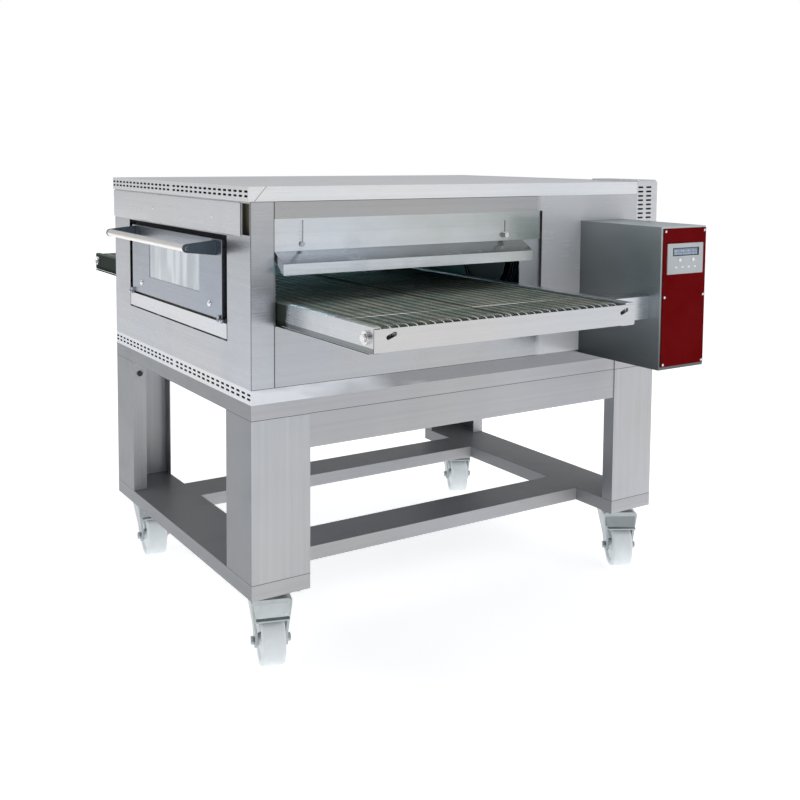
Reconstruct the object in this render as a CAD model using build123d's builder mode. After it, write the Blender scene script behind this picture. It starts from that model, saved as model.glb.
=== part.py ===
from build123d import *
import math
import os

os.makedirs("parts", exist_ok=True)

# A conveyor pizza oven on a wheeled stand.
# +X is the direction the belt carries the food, -Y is the operator's side with the window door,
# +Z is up and Z = 0 is the floor. All sizes are in millimetres.
# Heights are drawn from a datum above the floor; each finished piece is raised by datum_height.

# ---------------------------------------------------------------- driving dimensions
half_length = 540.0          # cabinet and stand, half of the length along the belt
front = -690.0               # front face of the cabinet
rear = 790.0                 # rear face of the cabinet
sheet = 2.0                  # cabinet sheet thickness
heavy_sheet = 3.0            # stand sheet thickness

datum_height = 45.0
floor_z = -datum_height                  # the floor as seen from the drawing datum
caster_height = 160.0                    # foot of the stand above the datum
rail_height = 42.0
leg_height = 442.0
lower_rail_top = caster_height + rail_height
leg_top = lower_rail_top + leg_height
base_z = leg_top + rail_height           # underside of the cabinet
band_height = 39.0                       # perforated bands at the foot and the roof
side_z = base_z + band_height            # foot of the side sheets
roof_band_z = side_z + 492.0             # top of the side sheets
roof_z = roof_band_z + band_height       # top of the roof

corner_post = 68.0                       # front sheet folded back along each side
casing_depth = 94.0                      # rear technical compartment
post_y = front + corner_post
casing_y = rear - casing_depth

belt_centre_y = -205.0
belt_z = 926.5                           # height of the shaft axes
belt_top = 950.0
shaft_x = 984.5
shaft_r = 8.0
frame_end = 1014.0                       # ends of the conveyor rails
conveyor_y = (-612.0, 202.0)             # outer faces of the conveyor rails
rail_z = (893.0, 953.0)
mouth_y = (-614.0, 214.0)
mouth_z = (888.0, 1083.0)
gate_travel = 35.0
running_gap = 0.05                       # radial clearance of shafts and pins


def raise_up(builder):
    """Move a finished piece from the drawing datum to its height above the floor."""
    builder.part = builder.part.moved(Location((0, 0, datum_height)))


def block(x, y, z, mode=Mode.ADD):
    """A box between the low and high values of x, y and z."""
    with Locations(((x[0] + x[1]) / 2, (y[0] + y[1]) / 2, (z[0] + z[1]) / 2)):
        Box(x[1] - x[0], y[1] - y[0], z[1] - z[0], mode=mode)


def rod_x(x, y, z, radius, mode=Mode.ADD):
    """A round bar along X between the two values of x."""
    with Locations(((x[0] + x[1]) / 2, y, z)):
        Cylinder(radius, x[1] - x[0], rotation=(0, 90, 0), mode=mode)


def rod_y(x, y, z, radius, mode=Mode.ADD):
    """A round bar along Y between the two values of y."""
    with Locations((x, (y[0] + y[1]) / 2, z)):
        Cylinder(radius, y[1] - y[0], rotation=(90, 0, 0), mode=mode)


def rod_z(x, y, z, radius, mode=Mode.ADD):
    """A round bar along Z between the two values of z."""
    with Locations((x, y, (z[0] + z[1]) / 2)):
        Cylinder(radius, z[1] - z[0], mode=mode)


def ordered(a, b):
    return (min(a, b), max(a, b))


def mirrored(side, a, b):
    """The X span a to b, on the exit side (side = 1) or the entry side (side = -1)."""
    return ordered(side * a, side * b)


# ================================================================ stand
leg_width = 160.0
leg_depth = 175.0
leg_flange = 45.0
lower_rail_depth = 175.0
beam_inset = 170.0
beam_width = 144.0
apron_height = 136.0
apron_flange = 40.0
caster_plate_z = (caster_height + 1, caster_height + 6)

with BuildPart() as stand_legs:
    with BuildSketch(Plane.XY.offset(lower_rail_top)):
        for side in (-1, 1):
            for outer, inward in ((front, 1), (rear, -1)):
                corner_x = side * half_length
                inner_x = side * (half_length - leg_width)
                inner_y = outer + inward * leg_depth
                with Locations(((corner_x + inner_x) / 2, outer + inward * heavy_sheet / 2)):
                    Rectangle(leg_width, heavy_sheet)
                with Locations((corner_x - side * heavy_sheet / 2, (outer + inner_y) / 2)):
                    Rectangle(heavy_sheet, leg_depth)
                with Locations((inner_x + side * heavy_sheet / 2, outer + inward * leg_flange / 2)):
                    Rectangle(heavy_sheet, leg_flange)
                with Locations(
                    (corner_x - side * leg_flange / 2, inner_y - inward * heavy_sheet / 2)
                ):
                    Rectangle(leg_flange, heavy_sheet)
    extrude(amount=leg_height)
    # one bolt hole near the top of each inner flange
    for side in (-1, 1):
        for outer, inward in ((front, 1), (rear, -1)):
            flange = mirrored(side, half_length - leg_width - 1, half_length - leg_width + 4)
            rod_x(flange, outer + inward * 24, leg_top - 42, 6.0, mode=Mode.SUBTRACT)
raise_up(stand_legs)
stand_legs.part.label = "stand_legs"
export_step(stand_legs.part, "parts/stand_legs.step")

with BuildPart() as lower_cross_rails:
    for outer, inward in ((front, 1), (rear, -1)):
        span_y = ordered(outer, outer + inward * lower_rail_depth)
        inside_y = (span_y[0] + heavy_sheet, span_y[1] - heavy_sheet)
        block((-half_length, half_length), span_y, (caster_height, lower_rail_top))
        block(
            (-half_length + heavy_sheet, half_length - heavy_sheet),
            inside_y,
            (caster_height, lower_rail_top - heavy_sheet),
            mode=Mode.SUBTRACT,
        )
        for side in (-1, 1):
            pad_x = mirrored(side, half_length - heavy_sheet, half_length - 150)
            block(pad_x, inside_y, (caster_plate_z[1], caster_plate_z[1] + 4))
            # a transport bolt that hangs below each rail end
            bolt_z = (caster_height - 10, caster_plate_z[1])
            rod_z(side * (half_length - 26), outer + inward * 150, bolt_z, 9.0)
raise_up(lower_cross_rails)
lower_cross_rails.part.label = "lower_cross_rails"
export_step(lower_cross_rails.part, "parts/lower_cross_rails.step")

beam_y = (front + lower_rail_depth, rear - lower_rail_depth)
with BuildPart() as lower_side_beams:
    for side in (-1, 1):
        outer_x = half_length - beam_inset
        inner_x = outer_x - beam_width
        block(mirrored(side, inner_x, outer_x), beam_y, (caster_height, lower_rail_top))
        block(
            mirrored(side, inner_x + heavy_sheet, outer_x - heavy_sheet),
            beam_y,
            (caster_height, lower_rail_top - heavy_sheet),
            mode=Mode.SUBTRACT,
        )
raise_up(lower_side_beams)
lower_side_beams.part.label = "lower_side_beams"
export_step(lower_side_beams.part, "parts/lower_side_beams.step")

with BuildPart() as top_frame:
    for outer, inward in ((front, 1), (rear, -1)):
        span_y = ordered(outer, outer + inward * leg_depth)
        block((-half_length, half_length), span_y, (leg_top, base_z))
        block(
            (-half_length + heavy_sheet, half_length - heavy_sheet),
            (span_y[0] + heavy_sheet, span_y[1] - heavy_sheet),
            (leg_top, base_z - heavy_sheet),
            mode=Mode.SUBTRACT,
        )
    apron_y = (front + leg_depth, rear - leg_depth)
    apron_z = (base_z - apron_height, base_z)
    for side in (-1, 1):
        web_x = half_length - heavy_sheet
        block(mirrored(side, web_x - heavy_sheet, web_x), apron_y, apron_z)
        for z in (apron_z[0], apron_z[1] - heavy_sheet):
            block(mirrored(side, web_x - apron_flange, web_x), apron_y, (z, z + heavy_sheet))
raise_up(top_frame)
top_frame.part.label = "top_frame"
export_step(top_frame.part, "parts/top_frame.step")

# ================================================================ casters
caster_x = 462.0
caster_front_y = front + 88.0
caster_rear_y = rear - 74.0
wheel_r = 70.0
wheel_width = 66.0
rim_width = 58.0
axle_z = floor_z + wheel_r
axle_r = 6.0
trail = 36.0                 # the axle lies this far from the swivel axis
cheek_inner = 38.0           # at the axle
cheek_sheet = 7.0
cheek_flare = 11.0           # the cheeks lean outwards up to the crown
crown_z = (caster_height - 31, caster_height - 17)
crown_r = 54.0
race_z = crown_z[1] + 0.3
casters = {
    "front_exit": (caster_x, caster_front_y, -18.0),
    "rear_exit": (caster_x, caster_rear_y, -31.0),
    "front_entry": (-caster_x, caster_front_y, -8.0),
    "rear_entry": (-caster_x, caster_rear_y, -26.0),
}

with BuildPart() as caster_plates:
    for x, y, _ in casters.values():
        block((x - 54, x + 54), (y - 46, y + 46), caster_plate_z)
        rod_z(x, y, (race_z, caster_plate_z[0]), 46.0)
        rod_z(x, y, (crown_z[0] - 1, race_z), axle_r)
        rod_z(x, y, (crown_z[0] - 8, crown_z[0] - 0.3), 12.0)
raise_up(caster_plates)
caster_plates.part.label = "caster_plates"
export_step(caster_plates.part, "parts/caster_plates.step")

for name, (x, y, angle) in casters.items():
    turn = math.radians(angle)
    ahead = Vector(math.cos(turn), math.sin(turn), 0)
    across = Vector(-math.sin(turn), math.cos(turn), 0)
    level = Plane(origin=(x, y, 0), x_dir=ahead, z_dir=(0, 0, 1))
    upright = Plane(origin=(x, y, 0), x_dir=ahead, z_dir=across * -1)
    facing = Plane(origin=(x, y, 0), x_dir=across, z_dir=ahead)
    cheek_top = cheek_inner + cheek_flare
    cheek_foot = axle_z - 30
    # front web with a lip over the wheel, as wide as the space between the cheeks
    with BuildPart() as fork_web:
        with BuildSketch(facing):
            with BuildLine():
                Polyline(
                    (-cheek_inner - 1, axle_z + 24),
                    (-cheek_top - 1, crown_z[0] + 1),
                    (cheek_top + 1, crown_z[0] + 1),
                    (cheek_inner + 1, axle_z + 24),
                    (-cheek_inner - 1, axle_z + 24),
                )
            make_face()
        extrude(amount=120, both=True)
        with BuildSketch(upright):
            with BuildLine():
                Polyline(
                    (crown_r - 4, crown_z[0] + 1),
                    (crown_r + 4, crown_z[0] + 1),
                    (crown_r + 16, axle_z + 73),
                    (crown_r + 30, axle_z + 71),
                    (crown_r + 30, axle_z + 67),
                    (crown_r + 12, axle_z + 68),
                    (crown_r - 4, crown_z[0] + 1),
                )
            make_face()
        extrude(amount=120, both=True, mode=Mode.INTERSECT)
    with BuildPart() as fork:
        # an arch with leaning cheeks, as seen from ahead
        with BuildSketch(facing):
            with BuildLine():
                Polyline(
                    (-cheek_inner, cheek_foot),
                    (-cheek_inner, axle_z + 24),
                    (-cheek_top, crown_z[0]),
                    (cheek_top, crown_z[0]),
                    (cheek_inner, axle_z + 24),
                    (cheek_inner, cheek_foot),
                    (cheek_inner + cheek_sheet, cheek_foot),
                    (cheek_inner + cheek_sheet, axle_z + 24),
                    (cheek_top + cheek_sheet, crown_z[0]),
                    (cheek_top + cheek_sheet, crown_z[1] - 6),
                    (cheek_top - 4, crown_z[1]),
                    (-cheek_top + 4, crown_z[1]),
                    (-cheek_top - cheek_sheet, crown_z[1] - 6),
                    (-cheek_top - cheek_sheet, crown_z[0]),
                    (-cheek_inner - cheek_sheet, axle_z + 24),
                    (-cheek_inner - cheek_sheet, cheek_foot),
                    (-cheek_inner, cheek_foot),
                    close=False,
                )
            make_face()
        extrude(amount=120, both=True)
        # and the outline of a cheek, as seen from the side
        with BuildSketch(upright):
            with Locations((4, (crown_z[0] + crown_z[1]) / 2)):
                Rectangle(2 * crown_r, crown_z[1] - crown_z[0])
            with Locations((trail, axle_z)):
                Circle(20)
            make_hull()
        extrude(amount=120, both=True, mode=Mode.INTERSECT)
        add(fork_web.part)
        rod = Plane(origin=(x, y, 0))
        with Locations(rod):
            Cylinder(axle_r + running_gap, 400, mode=Mode.SUBTRACT)
        with BuildSketch(upright):
            with Locations((trail, axle_z)):
                Circle(axle_r)
        extrude(amount=120, both=True, mode=Mode.SUBTRACT)
    with BuildPart() as axle_bolt:
        with BuildSketch(upright):
            with Locations((trail, axle_z)):
                Circle(axle_r)
        extrude(amount=cheek_inner + cheek_sheet, both=True)
        for offset in (cheek_inner + cheek_sheet, -cheek_inner - cheek_sheet - 9):
            with BuildSketch(upright.offset(offset)):
                with Locations((trail, axle_z)):
                    RegularPolygon(11, 6)
            extrude(amount=9)
    raise_up(fork)
    raise_up(axle_bolt)
    fork_and_bolt = Compound(children=[fork.part.solid(), axle_bolt.part.solid()])
    fork_and_bolt.label = f"caster_fork_{name}"
    export_step(fork_and_bolt, f"parts/caster_fork_{name}.step")

    axis = Axis(upright.from_local_coords((trail, axle_z, 0)), across)
    section = Plane(
        origin=upright.from_local_coords((trail, axle_z, 0)), x_dir=(0, 0, 1), z_dir=ahead
    )
    half = wheel_width / 2
    hub_half = cheek_inner - 0.6
    with BuildPart() as wheel:
        with BuildSketch(section):
            with BuildLine():
                Polyline(
                    (axle_r + running_gap, -hub_half),
                    (15, -hub_half),
                    (22, -half + 7),
                    (48, -half + 7),
                    (54, -half + 2),
                    (62, -half),
                )
                ThreePointArc((62, -half), (68.4, -half + 3.5), (wheel_r, -rim_width / 2 + 3))
                Line((wheel_r, -rim_width / 2 + 3), (wheel_r, rim_width / 2 - 3))
                ThreePointArc((wheel_r, rim_width / 2 - 3), (68.4, half - 3.5), (62, half))
                Polyline(
                    (62, half),
                    (54, half - 2),
                    (48, half - 7),
                    (22, half - 7),
                    (15, hub_half),
                    (axle_r + running_gap, hub_half),
                    (axle_r + running_gap, -hub_half),
                )
            make_face()
        revolve(axis=axis)
    raise_up(wheel)
    wheel.part.label = f"caster_wheel_{name}"
    export_step(wheel.part, f"parts/caster_wheel_{name}.step")

# ================================================================ cabinet shell
slot_pitch = 33.5
slots_per_group = 16
first_slot_x = 23.5
band_slot = (21.0, 6.0)
slot_rows = (14.0, 26.0)     # heights of the two rows above the foot of a band
band_slot_x = [
    side * (first_slot_x + slot_pitch * index) for side in (-1, 1) for index in range(slots_per_group)
]

with BuildPart() as base_pan:
    block((-half_length, half_length), (front, rear), (base_z, side_z))
    block(
        (-half_length + sheet, half_length - sheet),
        (front + sheet, rear - sheet),
        (base_z + sheet, side_z),
        mode=Mode.SUBTRACT,
    )
    with BuildSketch(Plane.XZ.offset(-front)):
        with Locations([(x, base_z + z) for x in band_slot_x for z in slot_rows]):
            SlotOverall(*band_slot)
    extrude(amount=-sheet, mode=Mode.SUBTRACT)
    rod_z(-120, 560, (base_z, base_z + sheet), 13.0, mode=Mode.SUBTRACT)
raise_up(base_pan)
base_pan.part.label = "base_pan"
export_step(base_pan.part, "parts/base_pan.step")

gland_x = -120.0
gland_y = 560.0
gland_bore = 7.0
with BuildPart() as cable_gland:
    with BuildSketch(Plane.XY.offset(base_z - 14)):
        RegularPolygon(19, 6)
    extrude(amount=14)
    rod_z(0, 0, (base_z - 26, base_z - 14), 14.0)
    rod_z(0, 0, (base_z, base_z + sheet), 13.0)
    with BuildSketch(Plane.XY.offset(base_z + sheet)):
        RegularPolygon(19, 6)
    extrude(amount=5)
    rod_z(0, 0, (base_z - 26, base_z + 7), gland_bore, mode=Mode.SUBTRACT)
cable_gland.part = cable_gland.part.moved(Location((gland_x, gland_y, 0)))
raise_up(cable_gland)
cable_gland.part.label = "cable_gland"
export_step(cable_gland.part, "parts/cable_gland.step")

door_zone_x = 392.0
door_zone_z = (833.0, 1121.0)
with BuildPart() as front_panel:
    block((-half_length, half_length), (front, post_y), (side_z, roof_band_z))
    block(
        (-half_length + sheet, half_length - sheet),
        (front + sheet, post_y),
        (side_z, roof_band_z),
        mode=Mode.SUBTRACT,
    )
    block((-door_zone_x, door_zone_x), (front, front + sheet), door_zone_z, mode=Mode.SUBTRACT)
    # cooling slot beside the upper cover
    block((490, 536), (front, front + sheet), (1129, 1212), mode=Mode.SUBTRACT)
raise_up(front_panel)
front_panel.part.label = "front_panel"
export_step(front_panel.part, "parts/front_panel.step")

with BuildPart() as upper_front_cover:
    block((-half_length, 486), (front - 4, front), (1124, 1213))
    outer_edges = upper_front_cover.edges().filter_by(Axis.X).group_by(Axis.Y)[0]
    chamfer(outer_edges, 1.5)
raise_up(upper_front_cover)
upper_front_cover.part.label = "upper_front_cover"
export_step(upper_front_cover.part, "parts/upper_front_cover.step")

door_axis_y = front - 7.0
door_axis_z = 885.0
knuckle_r = 5.5
pin_r = 3.0
with BuildPart() as sill_panel:
    block((-388, 388), (front, front + sheet), (837, 880))
    for side in (-1, 1):
        # tabs that hold the sill behind the front sheet
        for tab_x in (120, 340):
            tab = mirrored(side, tab_x, tab_x + 30)
            block(tab, (front + sheet, front + 2 * sheet), (825, 850))
        lug_x = mirrored(side, 362, 372)
        block(lug_x, (door_axis_y, front + sheet), (door_axis_z - knuckle_r, door_axis_z + knuckle_r))
        block(lug_x, (front, front + sheet), (870, door_axis_z))
        rod_x(lug_x, door_axis_y, door_axis_z, knuckle_r)
        rod_x(lug_x, door_axis_y, door_axis_z, pin_r + running_gap, mode=Mode.SUBTRACT)
raise_up(sill_panel)
sill_panel.part.label = "sill_panel"
export_step(sill_panel.part, "parts/sill_panel.step")

recess_y = 293.0             # rear end of the cut-out for the mouth
recess_z = (888.0, 1171.0)
for side, name in ((1, "exit"), (-1, "entry")):
    with BuildPart() as side_panel:
        wall = mirrored(side, half_length - sheet, half_length)
        block(wall, (post_y, casing_y), (side_z, roof_band_z))
        block(wall, (post_y, recess_y), recess_z, mode=Mode.SUBTRACT)
        if side > 0:
            # wiring hole into the control box
            rod_x((530, 545), 545, 1000, 18.0, mode=Mode.SUBTRACT)
    raise_up(side_panel)
    side_panel.part.label = f"{name}_side_panel"
    export_step(side_panel.part, f"parts/{name}_side_panel.step")

vent_columns = (714.0, 751.0)
vent_pitch = 14.2
vent_rows = 34
with BuildPart() as rear_casing:
    block((-half_length, half_length), (casing_y, rear), (side_z, roof_z))
    block(
        (-half_length + sheet, half_length - sheet),
        (casing_y, rear - sheet),
        (side_z, roof_z - sheet),
        mode=Mode.SUBTRACT,
    )
    with BuildSketch(Plane.YZ.offset(half_length)):
        with Locations(
            [(y, roof_z - 18 - vent_pitch * row) for y in vent_columns for row in range(vent_rows)]
        ):
            SlotOverall(24, 6)
    extrude(amount=-2 * half_length, mode=Mode.SUBTRACT)
    with BuildSketch(Plane.XZ.offset(-rear)):
        for centre in (-260, 260):
            with Locations((centre, 1020)):
                with GridLocations(22, 110, 14, 2):
                    SlotOverall(90, 8, rotation=90)
    extrude(amount=sheet, mode=Mode.SUBTRACT)
raise_up(rear_casing)
rear_casing.part.label = "rear_casing"
export_step(rear_casing.part, "parts/rear_casing.step")

fascia_overhang = 6.0
with BuildPart() as roof_cover:
    block((-half_length, half_length), (front - fascia_overhang, casing_y), (roof_band_z, roof_z))
    block(
        (-half_length + sheet, half_length - sheet),
        (front - fascia_overhang + sheet, casing_y),
        (roof_band_z + sheet, roof_z - sheet),
        mode=Mode.SUBTRACT,
    )
    block(
        (-half_length + sheet, half_length - sheet),
        (front, casing_y),
        (roof_band_z, roof_band_z + sheet),
        mode=Mode.SUBTRACT,
    )
    with BuildSketch(Plane.XZ.offset(fascia_overhang - front)):
        with Locations([(x, roof_band_z + z) for x in band_slot_x for z in slot_rows]):
            SlotOverall(*band_slot)
    extrude(amount=-sheet, mode=Mode.SUBTRACT)
raise_up(roof_cover)
roof_cover.part.label = "roof_cover"
export_step(roof_cover.part, "parts/roof_cover.step")

with BuildPart() as roof_rear_cap:
    block((320, 538), (704, 788), (roof_z, roof_z + 6))
    fillet(roof_rear_cap.edges().filter_by(Axis.Z), 4)
    chamfer(roof_rear_cap.faces().sort_by(Axis.Z)[-1].edges(), 2)
raise_up(roof_rear_cap)
roof_rear_cap.part.label = "roof_rear_cap"
export_step(roof_rear_cap.part, "parts/roof_rear_cap.step")

# ================================================================ baking chamber
chamber_x = 526.0
chamber_y = (-640.0, 560.0)
chamber_z = (765.0, 1187.0)
flange_sheet = 3.0
throat_x = 356.0
throat_z = (890.0, 1104.0)
throat_front = -672.0
fan_z = 976.0
element_radii = (128.0, 142.0, 156.0)
element_window_z = (fan_z - 166.0, fan_z - 118.0)
stud_y = 149.0
hook_y = -537.0
stud_z = 1102.0
stud_r = 3.0
foot_y = (-560.0, 480.0)

with BuildPart() as chamber_shell:
    block((-chamber_x, chamber_x), chamber_y, chamber_z)
    block(
        (-chamber_x, chamber_x),
        (chamber_y[0] + sheet, chamber_y[1] - sheet),
        (chamber_z[0] + sheet, chamber_z[1] - sheet),
        mode=Mode.SUBTRACT,
    )
    # feet that stand on the base pan
    for side in (-1, 1):
        for y in foot_y:
            block(mirrored(side, 420, 450), (y - 30, y + 30), (base_z + sheet, chamber_z[0]))
    block((-throat_x, throat_x), (throat_front, chamber_y[0] + sheet), throat_z)
    block(
        (-throat_x + sheet, throat_x - sheet),
        (throat_front, chamber_y[0] + sheet),
        (throat_z[0] + sheet, throat_z[1] - sheet),
        mode=Mode.SUBTRACT,
    )
    back_wall = (chamber_y[1] - sheet, chamber_y[1])
    rod_y(0, back_wall, fan_z, 14.0, mode=Mode.SUBTRACT)
    block((-22, 22), back_wall, element_window_z, mode=Mode.SUBTRACT)
with BuildPart() as mouth_frames:
    for side in (-1, 1):
        flange_x = mirrored(side, chamber_x, chamber_x + flange_sheet)
        block(flange_x, chamber_y, (760, 1212))
        block(flange_x, mouth_y, mouth_z, mode=Mode.SUBTRACT)
        rod_x(mirrored(side, chamber_x + flange_sheet, 545), stud_y, stud_z, stud_r)
        rod_x(mirrored(side, chamber_x + flange_sheet, 537), hook_y, stud_z, stud_r)
        rod_x(mirrored(side, 535, 537), hook_y, stud_z, 7.0)
raise_up(chamber_shell)
raise_up(mouth_frames)
chamber_liner = Compound(children=[chamber_shell.part.solid(), *mouth_frames.part.solids()])
chamber_liner.label = "chamber_liner"
export_step(chamber_liner, "parts/chamber_liner.step")

with BuildPart() as chamber_insulation:
    block((-522, 522), (-668, 592), (738, 1214))
    block((-522, 522), chamber_y, chamber_z, mode=Mode.SUBTRACT)
    block((-throat_x, throat_x), (-668, chamber_y[0]), throat_z, mode=Mode.SUBTRACT)
    rod_y(0, (chamber_y[1], 592), fan_z, 20.0, mode=Mode.SUBTRACT)
    block((-26, 26), (chamber_y[1], 592), element_window_z, mode=Mode.SUBTRACT)
    for side in (-1, 1):
        for y in foot_y:
            foot_x = mirrored(side, 420, 450)
            block(foot_x, (y - 30, y + 30), (738, chamber_z[0]), mode=Mode.SUBTRACT)
raise_up(chamber_insulation)
chamber_insulation.part.label = "chamber_insulation"
export_step(chamber_insulation.part, "parts/chamber_insulation.step")

jet_y = (-600.0, 210.0)
jet_spans = ((1098.0, 1185.0, 1098.0), (767.0, 882.0, 880.0))
with BuildPart() as air_jet_boxes:
    for low, high, nozzle_z in jet_spans:
        block((-470, 470), jet_y, (low, high))
        block(
            (-468, 468),
            (jet_y[0] + sheet, jet_y[1]),
            (low + sheet, high - sheet),
            mode=Mode.SUBTRACT,
        )
        with BuildSketch(Plane.XY.offset(nozzle_z)):
            with Locations((0, (jet_y[0] + jet_y[1]) / 2)):
                with GridLocations(90, 130, 10, 6):
                    Circle(9)
        extrude(amount=sheet, mode=Mode.SUBTRACT)
raise_up(air_jet_boxes)
air_jet_boxes.part.label = "air_jet_boxes"
export_step(air_jet_boxes.part, "parts/air_jet_boxes.step")

element_y = 515.0
element_r = 4.0
leg_offset = 12.0
element_leg_r = 3.2
with BuildPart() as heating_elements:
    for radius in element_radii:
        with Locations(Location((0, element_y, fan_z), (90, 0, 0))):
            Torus(radius, element_r)
        leg_z = fan_z - math.sqrt(radius**2 - leg_offset**2)
        for x in (-leg_offset, leg_offset):
            rod_y(x, (element_y, 574), leg_z, element_leg_r)
    # terminal plate on the back of the chamber
    block((-26, 26), (chamber_y[1], chamber_y[1] + 4), element_window_z)
raise_up(heating_elements)
heating_elements.part.label = "heating_elements"
export_step(heating_elements.part, "parts/heating_elements.step")

with BuildPart() as fan_impeller:
    rod_y(0, (500, 503), fan_z, 110.0)
    rod_y(0, (500, 542), fan_z, 22.0)
    rod_y(0, (542, 620), fan_z, shaft_r)
    with BuildSketch(Plane.XZ.offset(-503)):
        with Locations((0, fan_z)):
            with PolarLocations(72, 12):
                Rectangle(64, 2.5, rotation=25)
    extrude(amount=-36)
raise_up(fan_impeller)
fan_impeller.part.label = "fan_impeller"
export_step(fan_impeller.part, "parts/fan_impeller.step")

with BuildPart() as fan_motor:
    rod_y(0, (592, 600), fan_z, 95.0)
    rod_y(0, (600, 720), fan_z, 68.0)
    rod_y(0, (720, 745), fan_z, 60.0)
    with BuildSketch(Plane.XZ.offset(-604)):
        with Locations((0, fan_z)):
            with PolarLocations(70, 24):
                Rectangle(12, 3)
    extrude(amount=-108)
    rod_y(0, (592, 626), fan_z, shaft_r + running_gap, mode=Mode.SUBTRACT)
raise_up(fan_motor)
fan_motor.part.label = "fan_motor"
export_step(fan_motor.part, "parts/fan_motor.step")

# ================================================================ window door
door_x = 361.0
door_y = (front - 2.0, front + 16.0)
door_z = (888.0, 1106.0)
window_x = 204.0
window_z = (947.0, 1075.0)
glass_margin = 12.0
door_sheet = 2.0
bolt_x = 275.0
bolt_z = 923.0

with BuildPart() as door_frame:
    block((-door_x, door_x), door_y, door_z)
    fillet(door_frame.edges().filter_by(Axis.Y), 3)
    chamfer(door_frame.faces().sort_by(Axis.Y)[0].edges(), 0.8)
    block(
        (-door_x + door_sheet, door_x - door_sheet),
        (door_y[0] + door_sheet, door_y[1]),
        (door_z[0] + door_sheet, door_z[1] - door_sheet),
        mode=Mode.SUBTRACT,
    )
    block((-window_x, window_x), (door_y[0], door_y[0] + door_sheet), window_z, mode=Mode.SUBTRACT)
    for side in (-1, 1):
        knuckle_x = mirrored(side, 344, 358)
        rod_x(knuckle_x, door_axis_y, door_axis_z, knuckle_r)
        block(knuckle_x, (door_axis_y - 3, door_y[0] + 1), (door_axis_z, door_axis_z + 14))
        rod_x(knuckle_x, door_axis_y, door_axis_z, pin_r, mode=Mode.SUBTRACT)
        rod_y(side * bolt_x, (door_y[0], door_y[0] + door_sheet), bolt_z, 3.0, mode=Mode.SUBTRACT)
raise_up(door_frame)
door_frame.part.label = "door_frame"
export_step(door_frame.part, "parts/door_frame.step")

with BuildPart() as door_glass:
    block(
        (-window_x - glass_margin, window_x + glass_margin),
        (door_y[0] + door_sheet, door_y[0] + door_sheet + 4),
        (window_z[0] - glass_margin, window_z[1] + glass_margin),
    )
    fillet(door_glass.edges().filter_by(Axis.Y), 4)
raise_up(door_glass)
door_glass.part.label = "door_glass"
export_step(door_glass.part, "parts/door_glass.step")

bar_r = 11.0
bar_y = -778.0
bar_z = 1084.0
bar_x = 322.0
bracket_sheet = 5.0
bracket_tip_r = 12.0
with BuildPart() as door_handle_bar:
    rod_x((-bar_x, bar_x), bar_y, bar_z, bar_r)
raise_up(door_handle_bar)
door_handle_bar.part.label = "door_handle_bar"
export_step(door_handle_bar.part, "parts/door_handle_bar.step")

with BuildPart() as handle_brackets:
    for side in (-1, 1):
        with BuildSketch(Plane.YZ.offset(side * bar_x)):
            with Locations((door_y[0] - 1.5, 1083)):
                Rectangle(3, 42)
            with Locations((bar_y, bar_z)):
                Circle(bracket_tip_r)
            make_hull()
        extrude(amount=side * bracket_sheet)
        foot_x = mirrored(side, bar_x - 22, bar_x + bracket_sheet)
        block(foot_x, (door_y[0] - 3, door_y[0]), (1062, 1104))
        # screw heads that hold the bar
        rod_x(mirrored(side, bar_x + bracket_sheet, bar_x + bracket_sheet + 2.5), bar_y, bar_z, 4.5)
raise_up(handle_brackets)
handle_brackets.part.label = "handle_brackets"
export_step(handle_brackets.part, "parts/handle_brackets.step")

with BuildPart() as door_bolts:
    for x in (-bolt_x, bolt_x):
        rod_y(x, (door_y[0] - 4, door_y[0]), bolt_z, 8.0)
        rod_y(x, (door_y[0], door_y[0] + 6), bolt_z, 3.0)
    rims = door_bolts.faces().filter_by(Plane.XZ).group_by(Axis.Y)[0].edges()
    fillet(rims, 2.5)
raise_up(door_bolts)
door_bolts.part.label = "door_bolts"
export_step(door_bolts.part, "parts/door_bolts.step")

with BuildPart() as door_hinge_pins:
    for side in (-1, 1):
        rod_x(mirrored(side, 344, 374), door_axis_y, door_axis_z, pin_r)
        rod_x(mirrored(side, 372.3, 375.3), door_axis_y, door_axis_z, 5.0)
raise_up(door_hinge_pins)
door_hinge_pins.part.label = "door_hinge_pins"
export_step(door_hinge_pins.part, "parts/door_hinge_pins.step")

# ================================================================ mouth gates
gate_x = (531.0, 533.0)
gate_y = (-618.0, 289.0)
gate_z = (1085.0, 1210.0)
hood_y = (-618.0, 218.0)
hood_reach = 585.0
hood_fold_z = 1056.0
lip_z = 1027.0
slot_half = 4.0

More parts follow.
